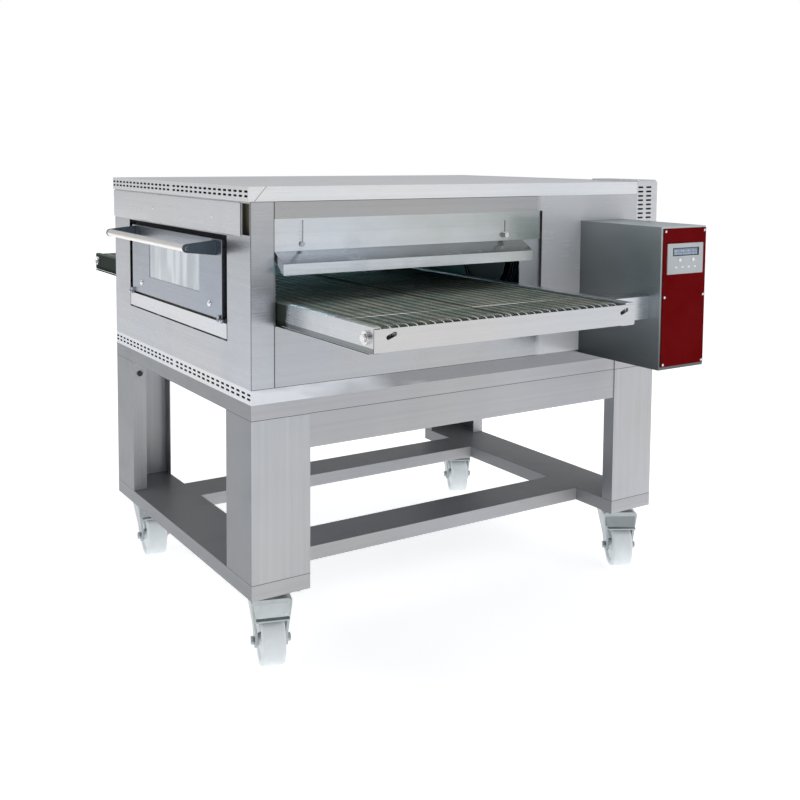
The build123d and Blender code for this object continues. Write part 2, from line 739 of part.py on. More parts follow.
for side, name in ((1, "exit"), (-1, "entry")):
    with BuildPart() as gate:
        block(mirrored(side, *gate_x), gate_y, gate_z)
        sections = (
            # sloping hood and its lip, over the whole width
            (hood_y[0], hood_y[1], ((533, 1085), (585, 1056), (585, 1027), (583, 1027),
                                    (583, 1054.8), (533, 1082.7), (531, 1085))),
            # closing gussets at the two ends
            (hood_y[0], hood_y[0] + 2, ((532, 1085), (584, 1056), (584, 1028), (532, 1062))),
            (hood_y[1] - 2, hood_y[1], ((532, 1085), (584, 1056), (584, 1028), (532, 1062))),
        )
        for low, high, outline in sections:
            with BuildSketch(Plane.XZ.offset(-low)):
                with BuildLine():
                    Polyline(*[(side * x, z) for x, z in outline], close=True)
                make_face()
            extrude(amount=low - high)
        # clamping slot at the rear, notched height slot at the front
        slot_x = mirrored(side, gate_x[0] - 1, gate_x[1] + 1)
        slot_z = (stud_z - 6, stud_z + gate_travel + 8)
        block(slot_x, (stud_y - slot_half, stud_y + slot_half), slot_z, mode=Mode.SUBTRACT)
        slot_z = (stud_z - 6, 1166)
        block(slot_x, (hook_y - slot_half, hook_y + slot_half), slot_z, mode=Mode.SUBTRACT)
        for step in range(6):
            notch_z = stud_z + 2 + step * 10
            notch_y = (hook_y - slot_half - 5, hook_y)
            block(slot_x, notch_y, (notch_z, notch_z + 4), mode=Mode.SUBTRACT)
    raise_up(gate)
    gate.part.label = f"{name}_gate"
    export_step(gate.part, f"parts/{name}_gate.step")

    with BuildPart() as gate_knob:
        rod_x(mirrored(side, 533.5, 535.5), stud_y, stud_z, 9.0)
        with BuildSketch(Plane.YZ.offset(side * 535.5)):
            with Locations((stud_y, stud_z)):
                Circle(7.5)
                with PolarLocations(7.6, 16):
                    Circle(0.7, mode=Mode.SUBTRACT)
        extrude(amount=side * 11)
        blind = mirrored(side, 533.5, 545.5)
        rod_x(blind, stud_y, stud_z, stud_r + running_gap, mode=Mode.SUBTRACT)
    raise_up(gate_knob)
    gate_knob.part.label = f"{name}_gate_knob"
    export_step(gate_knob.part, f"parts/{name}_gate_knob.step")

# ================================================================ conveyor
rail_sheet = 2.5
frame_x = (-frame_end, frame_end)
rear_web_y = 172.0
ledge_z = (rail_z[0], rail_z[0] + 2.0)
bearing_r = 14.0
bearing_flange_r = 16.0

with BuildPart() as front_rail:
    outer_y = conveyor_y[0]
    block(frame_x, (outer_y, outer_y + rail_sheet), rail_z)
    block(frame_x, (outer_y, outer_y + 14), (rail_z[1] - rail_sheet, rail_z[1]))
    block(frame_x, (outer_y, outer_y + 14), ledge_z)
    for side in (-1, 1):
        # feet on the lower edge of the mouths
        foot_x = mirrored(side, chamber_x, chamber_x + flange_sheet)
        block(foot_x, (outer_y, outer_y + 14), (mouth_z[0], rail_z[0]))
    for x in (-shaft_x, shaft_x):
        rod_y(x, (outer_y, outer_y + rail_sheet), belt_z, bearing_r, mode=Mode.SUBTRACT)
raise_up(front_rail)
front_rail.part.label = "front_rail"
export_step(front_rail.part, "parts/front_rail.step")

with BuildPart() as rear_rail:
    outer_y = conveyor_y[1]
    block(frame_x, (rear_web_y, rear_web_y + rail_sheet), rail_z)
    block(frame_x, (rear_web_y, outer_y), (rail_z[1] - rail_sheet, rail_z[1]))
    block(frame_x, (rear_web_y, outer_y), (rail_z[0], rail_z[0] + rail_sheet))
    block(frame_x, (rear_web_y - 12, rear_web_y), ledge_z)
    for side in (-1, 1):
        foot_x = mirrored(side, chamber_x, chamber_x + flange_sheet)
        block(foot_x, (rear_web_y, outer_y), (mouth_z[0], rail_z[0]))
    for x in (-shaft_x, shaft_x):
        web = (rear_web_y, rear_web_y + rail_sheet)
        rod_y(x, web, belt_z, bearing_r, mode=Mode.SUBTRACT)
raise_up(rear_rail)
rear_rail.part.label = "rear_rail"
export_step(rear_rail.part, "parts/rear_rail.step")

belt_y = (-594.0, 168.0)
belt_thickness = 2.0
belt_outer_r = belt_top - belt_z
belt_inner_r = belt_outer_r - belt_thickness
with BuildPart() as wire_belt:
    with BuildSketch(Plane.XZ.offset(-belt_y[0])):
        with Locations((0, belt_z)):
            SlotCenterToCenter(2 * shaft_x, 2 * belt_outer_r)
            SlotCenterToCenter(2 * shaft_x, 2 * belt_inner_r, mode=Mode.SUBTRACT)
    extrude(amount=belt_y[0] - belt_y[1])
raise_up(wire_belt)
wire_belt.part.label = "wire_belt"
export_step(wire_belt.part, "parts/wire_belt.step")

support_x = (-845.0, -420.0, 0.0, 420.0, 845.0)
strip_y = (-500.0, belt_centre_y, 90.0)
with BuildPart() as belt_support_frame:
    for x in support_x:
        rod_y(x, (conveyor_y[0] + rail_sheet, rear_web_y), 933, 5.0)
    for y in strip_y:
        block((support_x[0], support_x[-1]), (y - 4, y + 4), (936, 945))
raise_up(belt_support_frame)
belt_support_frame.part.label = "belt_support_frame"
export_step(belt_support_frame.part, "parts/belt_support_frame.step")

sprocket_r = 20.5
sprocket_width = 8.0
sprocket_count = 7
chain_sprocket_y = (184.0, 190.0)
chain_sprocket_r = 17.0
spindle_x = 801.0
spindle_z = 920.0
spindle_r = 7.0
sprocket_pitch = 116.0
for side, name in ((1, "drive"), (-1, "idler")):
    with BuildPart() as shaft:
        rear_end = 194.0 if side > 0 else 182.0
        rod_y(side * shaft_x, (conveyor_y[0] - 10, rear_end), belt_z, shaft_r)
        for index in range(sprocket_count):
            centre = belt_centre_y + sprocket_pitch * (index - (sprocket_count - 1) / 2)
            with BuildSketch(Plane.XZ.offset(sprocket_width / 2 - centre)):
                with Locations((side * shaft_x, belt_z)):
                    Circle(sprocket_r)
                    with PolarLocations(sprocket_r + 0.6, 12):
                        Circle(3.2, mode=Mode.SUBTRACT)
            extrude(amount=-sprocket_width)
        if side > 0:
            rod_y(side * shaft_x, chain_sprocket_y, belt_z, chain_sprocket_r)
    raise_up(shaft)
    shaft.part.label = f"{name}_shaft"
    export_step(shaft.part, f"parts/{name}_shaft.step")

with BuildPart() as shaft_bearings:
    bore = shaft_r + running_gap
    for x in (-shaft_x, shaft_x):
        front_face = conveyor_y[0]
        rod_y(x, (front_face - 7, front_face), belt_z, bearing_flange_r)
        rod_y(x, (front_face, front_face + rail_sheet), belt_z, bearing_r)
        rod_y(x, (rear_web_y, rear_web_y + rail_sheet), belt_z, bearing_r)
        rod_y(x, (rear_web_y + rail_sheet, rear_web_y + 8), belt_z, bearing_flange_r)
        rod_y(x, (front_face - 8, rear_web_y + 9), belt_z, bore, mode=Mode.SUBTRACT)
raise_up(shaft_bearings)
shaft_bearings.part.label = "shaft_bearings"
export_step(shaft_bearings.part, "parts/shaft_bearings.step")

box_x = (540.0, 875.0)
box_y = (452.0, 640.0)
box_z = (717.0, 1136.0)
gearbox_y = (470.0, 540.0)
with BuildPart() as drive_spindle:
    rod_y(spindle_x, (180, gearbox_y[0] + 32), spindle_z, spindle_r)
    rod_y(spindle_x, chain_sprocket_y, spindle_z, chain_sprocket_r)
raise_up(drive_spindle)
drive_spindle.part.label = "drive_spindle"
export_step(drive_spindle.part, "parts/drive_spindle.step")

chain_run = math.hypot(shaft_x - spindle_x, belt_z - spindle_z)
chain_tilt = math.degrees(math.atan2(belt_z - spindle_z, shaft_x - spindle_x))
chain_inner_r = chain_sprocket_r + 0.5
chain_height = 4.0
with BuildPart() as drive_chain:
    with BuildSketch(Plane.XZ.offset(0.8 - chain_sprocket_y[0])):
        with Locations(
            Location(((shaft_x + spindle_x) / 2, (belt_z + spindle_z) / 2), chain_tilt)
        ):
            SlotCenterToCenter(chain_run, 2 * (chain_inner_r + chain_height))
            SlotCenterToCenter(chain_run, 2 * chain_inner_r, mode=Mode.SUBTRACT)
    extrude(amount=-(chain_sprocket_y[1] - chain_sprocket_y[0]) - 1.6)
raise_up(drive_chain)
drive_chain.part.label = "drive_chain"
export_step(drive_chain.part, "parts/drive_chain.step")

housing_x = (768.0, 832.0)
housing_y = (conveyor_y[1], box_y[0])
housing_z = (864.0, 931.0)
with BuildPart() as drive_housing:
    block(housing_x, housing_y, housing_z)
    block(
        (housing_x[0] + sheet, housing_x[1] - sheet),
        housing_y,
        (housing_z[0] + sheet, housing_z[1] - sheet),
        mode=Mode.SUBTRACT,
    )
raise_up(drive_housing)
drive_housing.part.label = "drive_housing"
export_step(drive_housing.part, "parts/drive_housing.step")

tray_z = (ledge_z[1] + 0.3, ledge_z[1] + 2.3)
tray_inner_x = 545.0
tray_lip = (1016.0, 1018.0)
tray_lip_top = 949.0
lip_slot_y = (-566.0, 164.0)
for side, name in ((1, "exit"), (-1, "entry")):
    with BuildPart() as crumb_tray:
        floor_y = (conveyor_y[0] + rail_sheet + 1, rear_web_y - 1)
        block(mirrored(side, tray_inner_x, tray_lip[0]), floor_y, tray_z)
        lip_x = mirrored(side, *tray_lip)
        block(lip_x, conveyor_y, (tray_z[0], tray_lip_top))
        block(mirrored(side, tray_inner_x, tray_inner_x + 1.5), floor_y, (tray_z[0], tray_z[1] + 3))
        with BuildSketch(Plane.YZ.offset(side * tray_lip[0])):
            for y, angle in zip(lip_slot_y, (20, 20)):
                with Locations((y, tray_lip_top - 17)):
                    SlotOverall(30, 11, rotation=angle)
        extrude(amount=side * (tray_lip[1] - tray_lip[0]), mode=Mode.SUBTRACT)
    raise_up(crumb_tray)
    crumb_tray.part.label = f"{name}_crumb_tray"
    export_step(crumb_tray.part, f"parts/{name}_crumb_tray.step")

# ================================================================ control box
box_flange = 12.0
panel_y = (460.0, 638.0)
panel_z = (726.0, 1131.0)
panel_sheet = 3.0
panel_face = box_x[1] + panel_sheet
screw_positions = [(y, z) for y in (467.0, 631.0) for z in (733.0, 931.0, 1123.0)]
screw_r = 2.0

with BuildPart() as control_box:
    block(box_x, box_y, box_z)
    block(
        (box_x[0] + sheet, box_x[1] - sheet),
        (box_y[0] + sheet, box_y[1] - sheet),
        (box_z[0] + sheet, box_z[1] - sheet),
        mode=Mode.SUBTRACT,
    )
    block(
        (box_x[1] - sheet, box_x[1]),
        (box_y[0] + box_flange, box_y[1] - box_flange),
        (box_z[0] + 20, box_z[1] - 16),
        mode=Mode.SUBTRACT,
    )
    rod_x((box_x[0], box_x[0] + sheet), 545, 1000, 18.0, mode=Mode.SUBTRACT)
    rod_y(spindle_x, (box_y[0], box_y[0] + sheet), spindle_z, 9.0, mode=Mode.SUBTRACT)
    for y, z in screw_positions:
        rod_x((box_x[1] - sheet, box_x[1]), y, z, screw_r, mode=Mode.SUBTRACT)
    # cooling slots at the foot of the rear wall
    with BuildSketch(Plane.XZ.offset(-box_y[1])):
        with Locations((700, 770)):
            with GridLocations(16, 50, 12, 1):
                SlotOverall(50, 6, rotation=90)
    extrude(amount=sheet, mode=Mode.SUBTRACT)
raise_up(control_box)
control_box.part.label = "control_box"
export_step(control_box.part, "parts/control_box.step")

bezel_y = (474.0, 624.0)
bezel_z = (997.0, 1087.0)
screen_y = (495.0, 606.0)
screen_z = (1050.0, 1074.0)
button_z = 1038.0
buttons = {"left": 524.0, "right": 580.0}
button_r = 5.5
stem_r = 2.5
with BuildPart() as control_panel:
    block((box_x[1], panel_face), panel_y, panel_z)
    for y, z in screw_positions:
        rod_x((box_x[1], panel_face), y, z, screw_r, mode=Mode.SUBTRACT)
    for y in buttons.values():
        rod_x((box_x[1], panel_face), y, button_z, stem_r + 0.1, mode=Mode.SUBTRACT)
raise_up(control_panel)
control_panel.part.label = "control_panel"
export_step(control_panel.part, "parts/control_panel.step")

with BuildPart() as display_bezel:
    block((panel_face, panel_face + 3), bezel_y, bezel_z)
    fillet(display_bezel.edges().filter_by(Axis.X), 3)
    chamfer(display_bezel.faces().sort_by(Axis.X)[-1].edges(), 0.8)
    block((panel_face, panel_face + 3), screen_y, screen_z, mode=Mode.SUBTRACT)
    for y in buttons.values():
        rod_x((panel_face, panel_face + 3), y, button_z, button_r + 0.4, mode=Mode.SUBTRACT)
raise_up(display_bezel)
display_bezel.part.label = "display_bezel"
export_step(display_bezel.part, "parts/display_bezel.step")

with BuildPart() as display:
    block((panel_face, panel_face + 1.6), screen_y, screen_z)
raise_up(display)
display.part.label = "display"
export_step(display.part, "parts/display.step")

for name, y in buttons.items():
    with BuildPart() as button:
        rod_x((panel_face + 1.5, panel_face + 5.5), y, button_z, button_r)
        fillet(button.faces().sort_by(Axis.X)[-1].edges(), 1.0)
        rod_x((box_x[1] - 3, panel_face + 1.5), y, button_z, stem_r)
        rod_x((box_x[1] - 3, box_x[1] - 1.5), y, button_z, 4.0)
    raise_up(button)
    button.part.label = f"button_{name}"
    export_step(button.part, f"parts/button_{name}.step")

with BuildPart() as panel_screws:
    for y, z in screw_positions:
        rod_x((panel_face, panel_face + 2), y, z, 4.0)
        rod_x((box_x[1] - sheet, panel_face), y, z, screw_r)
    chamfer(panel_screws.faces().filter_by(Plane.YZ).group_by(Axis.X)[-1].edges(), 0.8)
raise_up(panel_screws)
panel_screws.part.label = "panel_screws"
export_step(panel_screws.part, "parts/panel_screws.step")

motor_y = 628.0
motor_r = 34.0
with BuildPart() as gearmotor:
    gearbox_x = (765.0, 840.0)
    block(gearbox_x, gearbox_y, (885, 955))
    chamfer(gearmotor.edges().filter_by(Axis.Y), 5)
    rod_y(spindle_x, (gearbox_y[1], motor_y), spindle_z, motor_r)
    for x in (gearbox_x[0], gearbox_x[1] - heavy_sheet):
        bracket_x = (x, x + heavy_sheet)
        block(bracket_x, (480, 530), (box_z[0] + sheet, 892))
    rod_y(
        spindle_x,
        (gearbox_y[0], gearbox_y[0] + 34),
        spindle_z,
        spindle_r + running_gap,
        mode=Mode.SUBTRACT,
    )
raise_up(gearmotor)
gearmotor.part.label = "gearmotor"
export_step(gearmotor.part, "parts/gearmotor.step")

board_x = (844.0, 846.0)
with BuildPart() as control_board:
    block(board_x, (470, 622), (995, 1110))
    for y in (478, 614):
        for z in (1003, 1102):
            rod_x((board_x[1], box_x[1]), y, z, 3.0)
    # relays, capacitors and terminal strip
    for y in (490, 520, 550):
        block((board_x[0] - 18, board_x[0]), (y, y + 22), (1075, 1100))
    for y in (500, 535, 570):
        rod_x((board_x[0] - 14, board_x[0]), y, 1055, 7.0)
    block((board_x[0] - 12, board_x[0]), (480, 610), (999, 1012))
raise_up(control_board)
control_board.part.label = "control_board"
export_step(control_board.part, "parts/control_board.step")
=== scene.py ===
import bpy
import math
import random
from mathutils import Matrix, Vector


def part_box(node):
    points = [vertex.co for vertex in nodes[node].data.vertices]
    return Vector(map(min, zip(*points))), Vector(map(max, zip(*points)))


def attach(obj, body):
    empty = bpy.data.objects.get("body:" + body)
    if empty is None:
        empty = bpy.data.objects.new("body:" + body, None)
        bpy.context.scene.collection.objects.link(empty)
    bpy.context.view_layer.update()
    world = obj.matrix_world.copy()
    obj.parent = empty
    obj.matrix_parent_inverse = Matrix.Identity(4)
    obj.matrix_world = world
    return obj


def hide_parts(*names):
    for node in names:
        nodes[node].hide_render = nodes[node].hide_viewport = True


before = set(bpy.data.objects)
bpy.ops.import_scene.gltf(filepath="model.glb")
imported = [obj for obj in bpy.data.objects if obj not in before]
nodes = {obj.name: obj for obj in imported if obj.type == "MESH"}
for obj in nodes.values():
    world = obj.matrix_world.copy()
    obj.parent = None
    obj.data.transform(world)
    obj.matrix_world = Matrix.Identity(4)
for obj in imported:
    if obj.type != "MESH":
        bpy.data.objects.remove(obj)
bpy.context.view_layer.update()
random.seed(11)


# ---------------------------------------------------------------- material graphs
class Graph:
    """A procedural material, built socket by socket."""

    def __init__(self, name):
        self.mat = bpy.data.materials.new(name)
        self.mat.use_nodes = True
        self.tree = self.mat.node_tree
        self.tree.nodes.clear()
        self.out = self.add("ShaderNodeOutputMaterial")
        self.bsdf = self.add("ShaderNodeBsdfPrincipled")
        self.tree.links.new(self.bsdf.outputs[0], self.out.inputs["Surface"])
        self.coord = self.add("ShaderNodeTexCoord").outputs["Object"]
        parts = self.add("ShaderNodeSeparateXYZ")
        self.put(parts.inputs[0], self.coord)
        self.x, self.y, self.z = parts.outputs
        facing = self.add("ShaderNodeSeparateXYZ")
        self.put(facing.inputs[0], self.add("ShaderNodeNewGeometry").outputs["True Normal"])
        self.normal_y = facing.outputs[1]
        self.flat = self.calc("ABSOLUTE", facing.outputs[2])

    def add(self, kind, **props):
        made = self.tree.nodes.new(kind)
        for key, value in props.items():
            setattr(made, key, value)
        return made

    def put(self, socket, value):
        if isinstance(value, bpy.types.NodeSocket):
            self.tree.links.new(value, socket)
        elif value is not None:
            socket.default_value = value

    def calc(self, op, a, b=None, c=None):
        made = self.add("ShaderNodeMath", operation=op)
        for socket, value in zip(made.inputs, (a, b, c)):
            self.put(socket, value)
        return made.outputs[0]

    def scaled(self, sx, sy, sz, vector=None):
        made = self.add("ShaderNodeVectorMath", operation="MULTIPLY")
        self.put(made.inputs[0], vector or self.coord)
        made.inputs[1].default_value = (sx, sy, sz)
        return made.outputs[0]

    def noise(self, vector, scale=1.0, detail=3.0, rough=0.5):
        made = self.add("ShaderNodeTexNoise")
        self.put(made.inputs["Vector"], vector)
        made.inputs["Scale"].default_value = scale
        made.inputs["Detail"].default_value = detail
        made.inputs["Roughness"].default_value = rough
        return made.outputs[0]

    def span(self, value, low, high, to_low=0.0, to_high=1.0):
        made = self.add("ShaderNodeMapRange")
        for socket, v in zip(made.inputs, (value, low, high, to_low, to_high)):
            self.put(socket, v)
        return made.outputs[0]

    def ramp(self, fac, stops):
        made = self.add("ShaderNodeValToRGB")
        self.put(made.inputs[0], fac)
        elements = made.color_ramp.elements
        while len(elements) < len(stops):
            elements.new(0.5)
        for element, (place, colour) in zip(elements, stops):
            element.position = place
            element.color = (*colour, 1.0)
        return made.outputs[0]

    def blend(self, fac, a, b, how="MIX"):
        made = self.add("ShaderNodeMix", data_type="RGBA", blend_type=how)
        self.put(made.inputs[0], fac)
        for socket, value in zip((made.inputs[6], made.inputs[7]), (a, b)):
            self.put(socket, (*value, 1.0) if isinstance(value, tuple) else value)
        return made.outputs[2]

    def bump(self, height, strength, distance):
        made = self.add("ShaderNodeBump")
        made.inputs["Strength"].default_value = strength
        made.inputs["Distance"].default_value = distance
        self.put(made.inputs["Height"], height)
        self.put(self.bsdf.inputs["Normal"], made.outputs[0])

    def set(self, **values):
        for key, value in values.items():
            socket = self.bsdf.inputs[key.replace("_", " ")]
            self.put(socket, (*value, 1.0) if isinstance(value, tuple) and len(value) == 3 else value)
        return self


def brushed(name, tone, rough=(0.24, 0.36), grain="level", tint=0.5, extra=None, metallic=1.0, streak=0.06):
    """Brushed sheet metal: fine grain, long streaks, slow warm and cool patches, faint smears."""
    g = Graph(name)
    if grain == "level":
        across = g.add("ShaderNodeCombineXYZ")
        g.put(across.inputs[0], g.calc("MULTIPLY", g.x, g.calc("MULTIPLY_ADD", g.flat, 120.0, 1.0)))
        g.put(across.inputs[1], g.y)
        g.put(across.inputs[2], g.calc("MULTIPLY", g.z, 120.0))
        lines = across.outputs[0]
    elif grain == "upright":
        lines = g.scaled(150.0, 150.0, 2.6)
    else:
        lines = g.scaled(40.0, 40.0, 40.0)
    fine = g.noise(lines, 8.0, 2.0, 0.6)
    wide = g.noise(lines, 0.55, 3.0, 0.6)
    patch = g.noise(g.coord, 1.7, 3.0, 0.55)
    smear = g.noise(g.coord, 9.0, 4.0, 0.6)
    cool = tuple(c * k for c, k in zip(tone, (0.95, 0.985, 1.05)))
    warm = tuple(min(1.0, c * k) for c, k in zip(tone, (1.045, 1.0, 0.94)))
    colour = g.blend(g.span(patch, 0.35, 0.65, 0.5 - tint / 2, 0.5 + tint / 2), cool, warm)
    streaks = g.span(wide, 0.25, 0.75, 1.0 - streak, 1.0 + streak * 0.4)
    shade = g.calc("ADD", streaks, g.span(fine, 0.3, 0.7, -0.035, 0.025))
    shaded = g.add("ShaderNodeVectorMath", operation="SCALE")
    g.put(shaded.inputs[0], colour)
    g.put(shaded.inputs["Scale"], shade)
    colour = shaded.outputs[0]
    if extra:
        colour = extra(g, colour)
    rough_value = g.calc(
        "ADD",
        g.span(fine, 0.3, 0.7, rough[0], rough[1]),
        g.span(smear, 0.5, 0.75, 0.0, 0.07),
    )
    g.set(Base_Color=colour, Metallic=metallic, Roughness=rough_value)
    g.bump(fine, 0.06, 0.0004)
    return g.mat


def enamel(name, tone, rough=0.35, grain=120.0, depth=0.25, shine=0.5, metallic=0.0, dust=0.06, speck=None):
    """Paint or moulded plastic: fine orange peel, slight fading and dust."""
    g = Graph(name)
    peel = g.noise(g.coord, grain, 2.0, 0.5)
    cloud = g.noise(g.coord, 6.0, 4.0, 0.6)
    dark = tuple(c * 0.88 for c in tone)
    light = tuple(min(1.0, c * 1.08 + dust * 0.05) for c in tone)
    colour = g.blend(g.span(cloud, 0.3, 0.7), dark, light)
    if speck:
        grains = g.noise(g.coord, 900.0, 2.0, 0.5)
        colour = g.blend(g.span(grains, 0.55, 0.7), colour, speck)
    g.set(Base_Color=colour, Metallic=metallic, Roughness=g.span(cloud, 0.3, 0.7, rough * 0.85, rough * 1.15))
    g.set(Specular_IOR_Level=shine)
    g.bump(peel, depth, 0.0003)
    return g.mat


def band(g, value, centre, half, soft):
    """1 inside centre +- half, falling to 0 over soft."""
    away = g.calc("ABSOLUTE", g.calc("SUBTRACT", value, centre))
    return g.span(away, half, half + soft, 1.0, 0.0)


# ---------------------------------------------------------------- meshes
def piece(name, verts, faces, material, body, smooth=False):
    mesh = bpy.data.meshes.new(name)
    mesh.from_pydata(verts, [], faces)
    mesh.update()
    mesh.polygons.foreach_set("use_smooth", [smooth] * len(mesh.polygons))
    made = bpy.data.objects.new(name, mesh)
    bpy.context.scene.collection.objects.link(made)
    mesh.materials.append(material)
    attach(made, body)
    return made


class Shape:
    """Collects vertices and faces."""

    def __init__(self):
        self.verts = []
        self.faces = []

    def tube(self, points, radius, sides=6, closed=False, up=Vector((0, 0, 1))):
        count = len(points)
        base = len(self.verts)
        for i, p in enumerate(points):
            before = points[i - 1] if (i or closed) else p
            after = points[(i + 1) % count] if (i < count - 1 or closed) else p
            along = (after - before).normalized()
            side = along.cross(up)
            if side.length < 1e-6:
                side = along.cross(Vector((1, 0, 0)))
            side.normalize()
            top = side.cross(along)
            for k in range(sides):
                a = 2 * math.pi * k / sides
                self.verts.append(p + (side * math.cos(a) + top * math.sin(a)) * radius)
        rings = count if closed else count - 1
        for i in range(rings):
            a = base + i * sides
            b = base + ((i + 1) % count) * sides
            for k in range(sides):
                n = (k + 1) % sides
                self.faces.append((a + k, a + n, b + n, b + k))
        if not closed:
            self.faces.append(tuple(base + k for k in reversed(range(sides))))
            last = base + (count - 1) * sides
            self.faces.append(tuple(last + k for k in range(sides)))

    def turned(self, profile, centre, axis, sides=24, start=0.0):
        """Revolves (radius, along) pairs about axis through centre."""
        axis = Vector(axis).normalized()
        side = axis.orthogonal().normalized()
        other = axis.cross(side)
        base = len(self.verts)
        for r, a in profile:
            for k in range(sides):
                t = start + 2 * math.pi * k / sides
                self.verts.append(Vector(centre) + axis * a + (side * math.cos(t) + other * math.sin(t)) * r)
        for i in range(len(profile) - 1):
            for k in range(sides):
                n = (k + 1) % sides
                a, b = base + i * sides, base + (i + 1) * sides
                self.faces.append((a + k, a + n, b + n, b + k))
        self.faces.append(tuple(base + k for k in reversed(range(sides))))
        last = base + (len(profile) - 1) * sides
        self.faces.append(tuple(last + k for k in range(sides)))

    def slab(self, low, high, bevel=0.0):
        """A box whose edges are cut back by bevel on the three directions."""
        (x0, y0, z0), (x1, y1, z1) = low, high
        b = bevel
        rings = []
        for z, inset in ((z0, b), (z0 + b, 0), (z1 - b, 0), (z1, b)) if b else ((z0, 0), (z1, 0)):
            rings.append(len(self.verts))
            left, right, front, back = x0 + inset, x1 - inset, y0 + inset, y1 - inset
            for x, y in ((left, front), (right, front), (right, back), (left, back)):
                self.verts.append(Vector((x, y, z)))
        for a, c in zip(rings, rings[1:]):
            for k in range(4):
                n = (k + 1) % 4
                self.faces.append((a + k, a + n, c + n, c + k))
        self.faces.append(tuple(rings[0] + k for k in (3, 2, 1, 0)))
        self.faces.append(tuple(rings[-1] + k for k in range(4)))

    def make(self, name, material, body, smooth=False):
        return piece(name, self.verts, self.faces, material, body, smooth)


# ---------------------------------------------------------------- key places
belt_low, belt_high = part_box("wire_belt")
roof_low, roof_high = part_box("roof_cover")
bezel_low, bezel_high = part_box("display_bezel")
screen_low, screen_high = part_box("display")
cover_low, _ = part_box("upper_front_cover")
front_low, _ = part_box("front_panel")
_, gate_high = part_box("exit_gate")
rail_low, rail_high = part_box("front_rail")
_, pan_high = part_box("base_pan")
rail_top = rail_high.z
OPENING_X = 0.400            # half width of the front panel's opening
OPENING_DROP = 0.291         # its lower edge, below the upper front cover


# ---------------------------------------------------------------- materials
JOINT_LINE = (0.05, 0.05, 0.055)


def roof_seams(g, colour):
    """Folded corner seams of the roof fascia on the two side bands."""
    run = g.calc("SUBTRACT", g.y, roof_low.y)
    rise = g.calc("SUBTRACT", roof_high.z, g.z)
    seam = band(g, g.calc("SUBTRACT", run, g.calc("MULTIPLY_ADD", rise, -0.9, 0.052)), 0.0, 0.0006, 0.0006)
    side = g.span(g.calc("ABSOLUTE", g.x), roof_high.x - 0.001, roof_high.x - 0.0005)
    return g.blend(g.calc("MULTIPLY", seam, side), colour, (0.12, 0.12, 0.13))


def heat_tint(low, high):
    """Straw and olive tint that grows along Y between low and high."""
    def apply(g, colour):
        cloud = g.noise(g.scaled(1.0, 3.0, 6.0), 3.0, 3.0, 0.5)
        place = g.calc("ADD", g.y, g.span(cloud, 0.3, 0.7, -0.08, 0.08))
        tinted = g.blend(0.75, colour, (0.50, 0.50, 0.40), "MULTIPLY")
        return g.blend(g.span(place, low, high, 0.0, 0.7), colour, tinted)
    return apply


def panel_edges(node):
    """Dark joint lines round a sheet, where it meets its neighbours."""
    low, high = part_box(node)

    def apply(g, colour):
        gap_y = g.calc("MINIMUM", g.calc("SUBTRACT", g.y, low.y), g.calc("SUBTRACT", high.y, g.y))
        gap_z = g.calc("MINIMUM", g.calc("SUBTRACT", g.z, low.z), g.calc("SUBTRACT", high.z, g.z))
        side = g.span(g.calc("ABSOLUTE", g.x), high.x - 0.0012, high.x - 0.0006)
        near = g.calc("MINIMUM", gap_y, gap_z)
        line = g.calc("MULTIPLY", g.span(near, 0.0012, 0.0020, 1.0, 0.0), side)
        return g.blend(g.calc("MULTIPLY", line, 0.85), colour, JOINT_LINE)
    return apply


def sill_gap_shade(g, colour):
    """Painted shade: the sill is made near black along the gap that runs round the panel under the door."""
    gap_x = g.calc("SUBTRACT", OPENING_X, g.calc("ABSOLUTE", g.x))
    near = g.calc("MINIMUM", gap_x, g.calc("SUBTRACT", g.z, cover_low.z - OPENING_DROP))
    return g.blend(g.span(near, 0.0045, 0.0057, 0.92, 0.0), colour, (0.02, 0.02, 0.022))


def exit_side_look(g, colour):
    """Joint lines, and a paler, less metallic stretch beside the control box, as in the photo."""
    edged = panel_edges("exit_side_panel")(g, colour)
    beside = g.calc("MULTIPLY", g.span(g.y, 0.270, 0.290), g.span(g.x, 0.0, 0.01))
    g.set(Metallic=g.calc("MULTIPLY_ADD", beside, -0.75, 1.0), Specular_IOR_Level=0.2)
    return g.blend(g.calc("MULTIPLY", beside, 0.8), edged, (0.62, 0.63, 0.66))


def stand_joints_and_painted_light(g, colour):
    """Dark joint lines at the legs' ends; the tone by face direction is painted light and shade, tuned to the
    photo: level faces paler, -Y faces darker.
    """
    low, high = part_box("stand_legs")
    foot = band(g, g.z, low.z, 0.0006, 0.0006)
    head = band(g, g.z, high.z, 0.0006, 0.0006)
    cloud = g.noise(g.scaled(1.0, 1.0, 0.4), 2.2, 3.0, 0.6)
    colour = g.blend(g.span(cloud, 0.35, 0.7, 0.0, 0.22), colour, (0.27, 0.285, 0.31))
    # painted light: level faces are made paler
    painted_light_level = g.calc("MULTIPLY", g.span(g.flat, 0.9, 0.98), 0.9)
    colour = g.blend(painted_light_level, colour, (0.90, 0.91, 0.93))
    # painted shade: faces towards -Y are made darker
    painted_shade_front = g.span(g.normal_y, -0.95, -0.8, 0.9, 0.0)
    colour = g.blend(painted_shade_front, colour, (0.20, 0.21, 0.225))
    return g.blend(g.calc("MULTIPLY", g.calc("MAXIMUM", foot, head), 0.85), colour, JOINT_LINE)


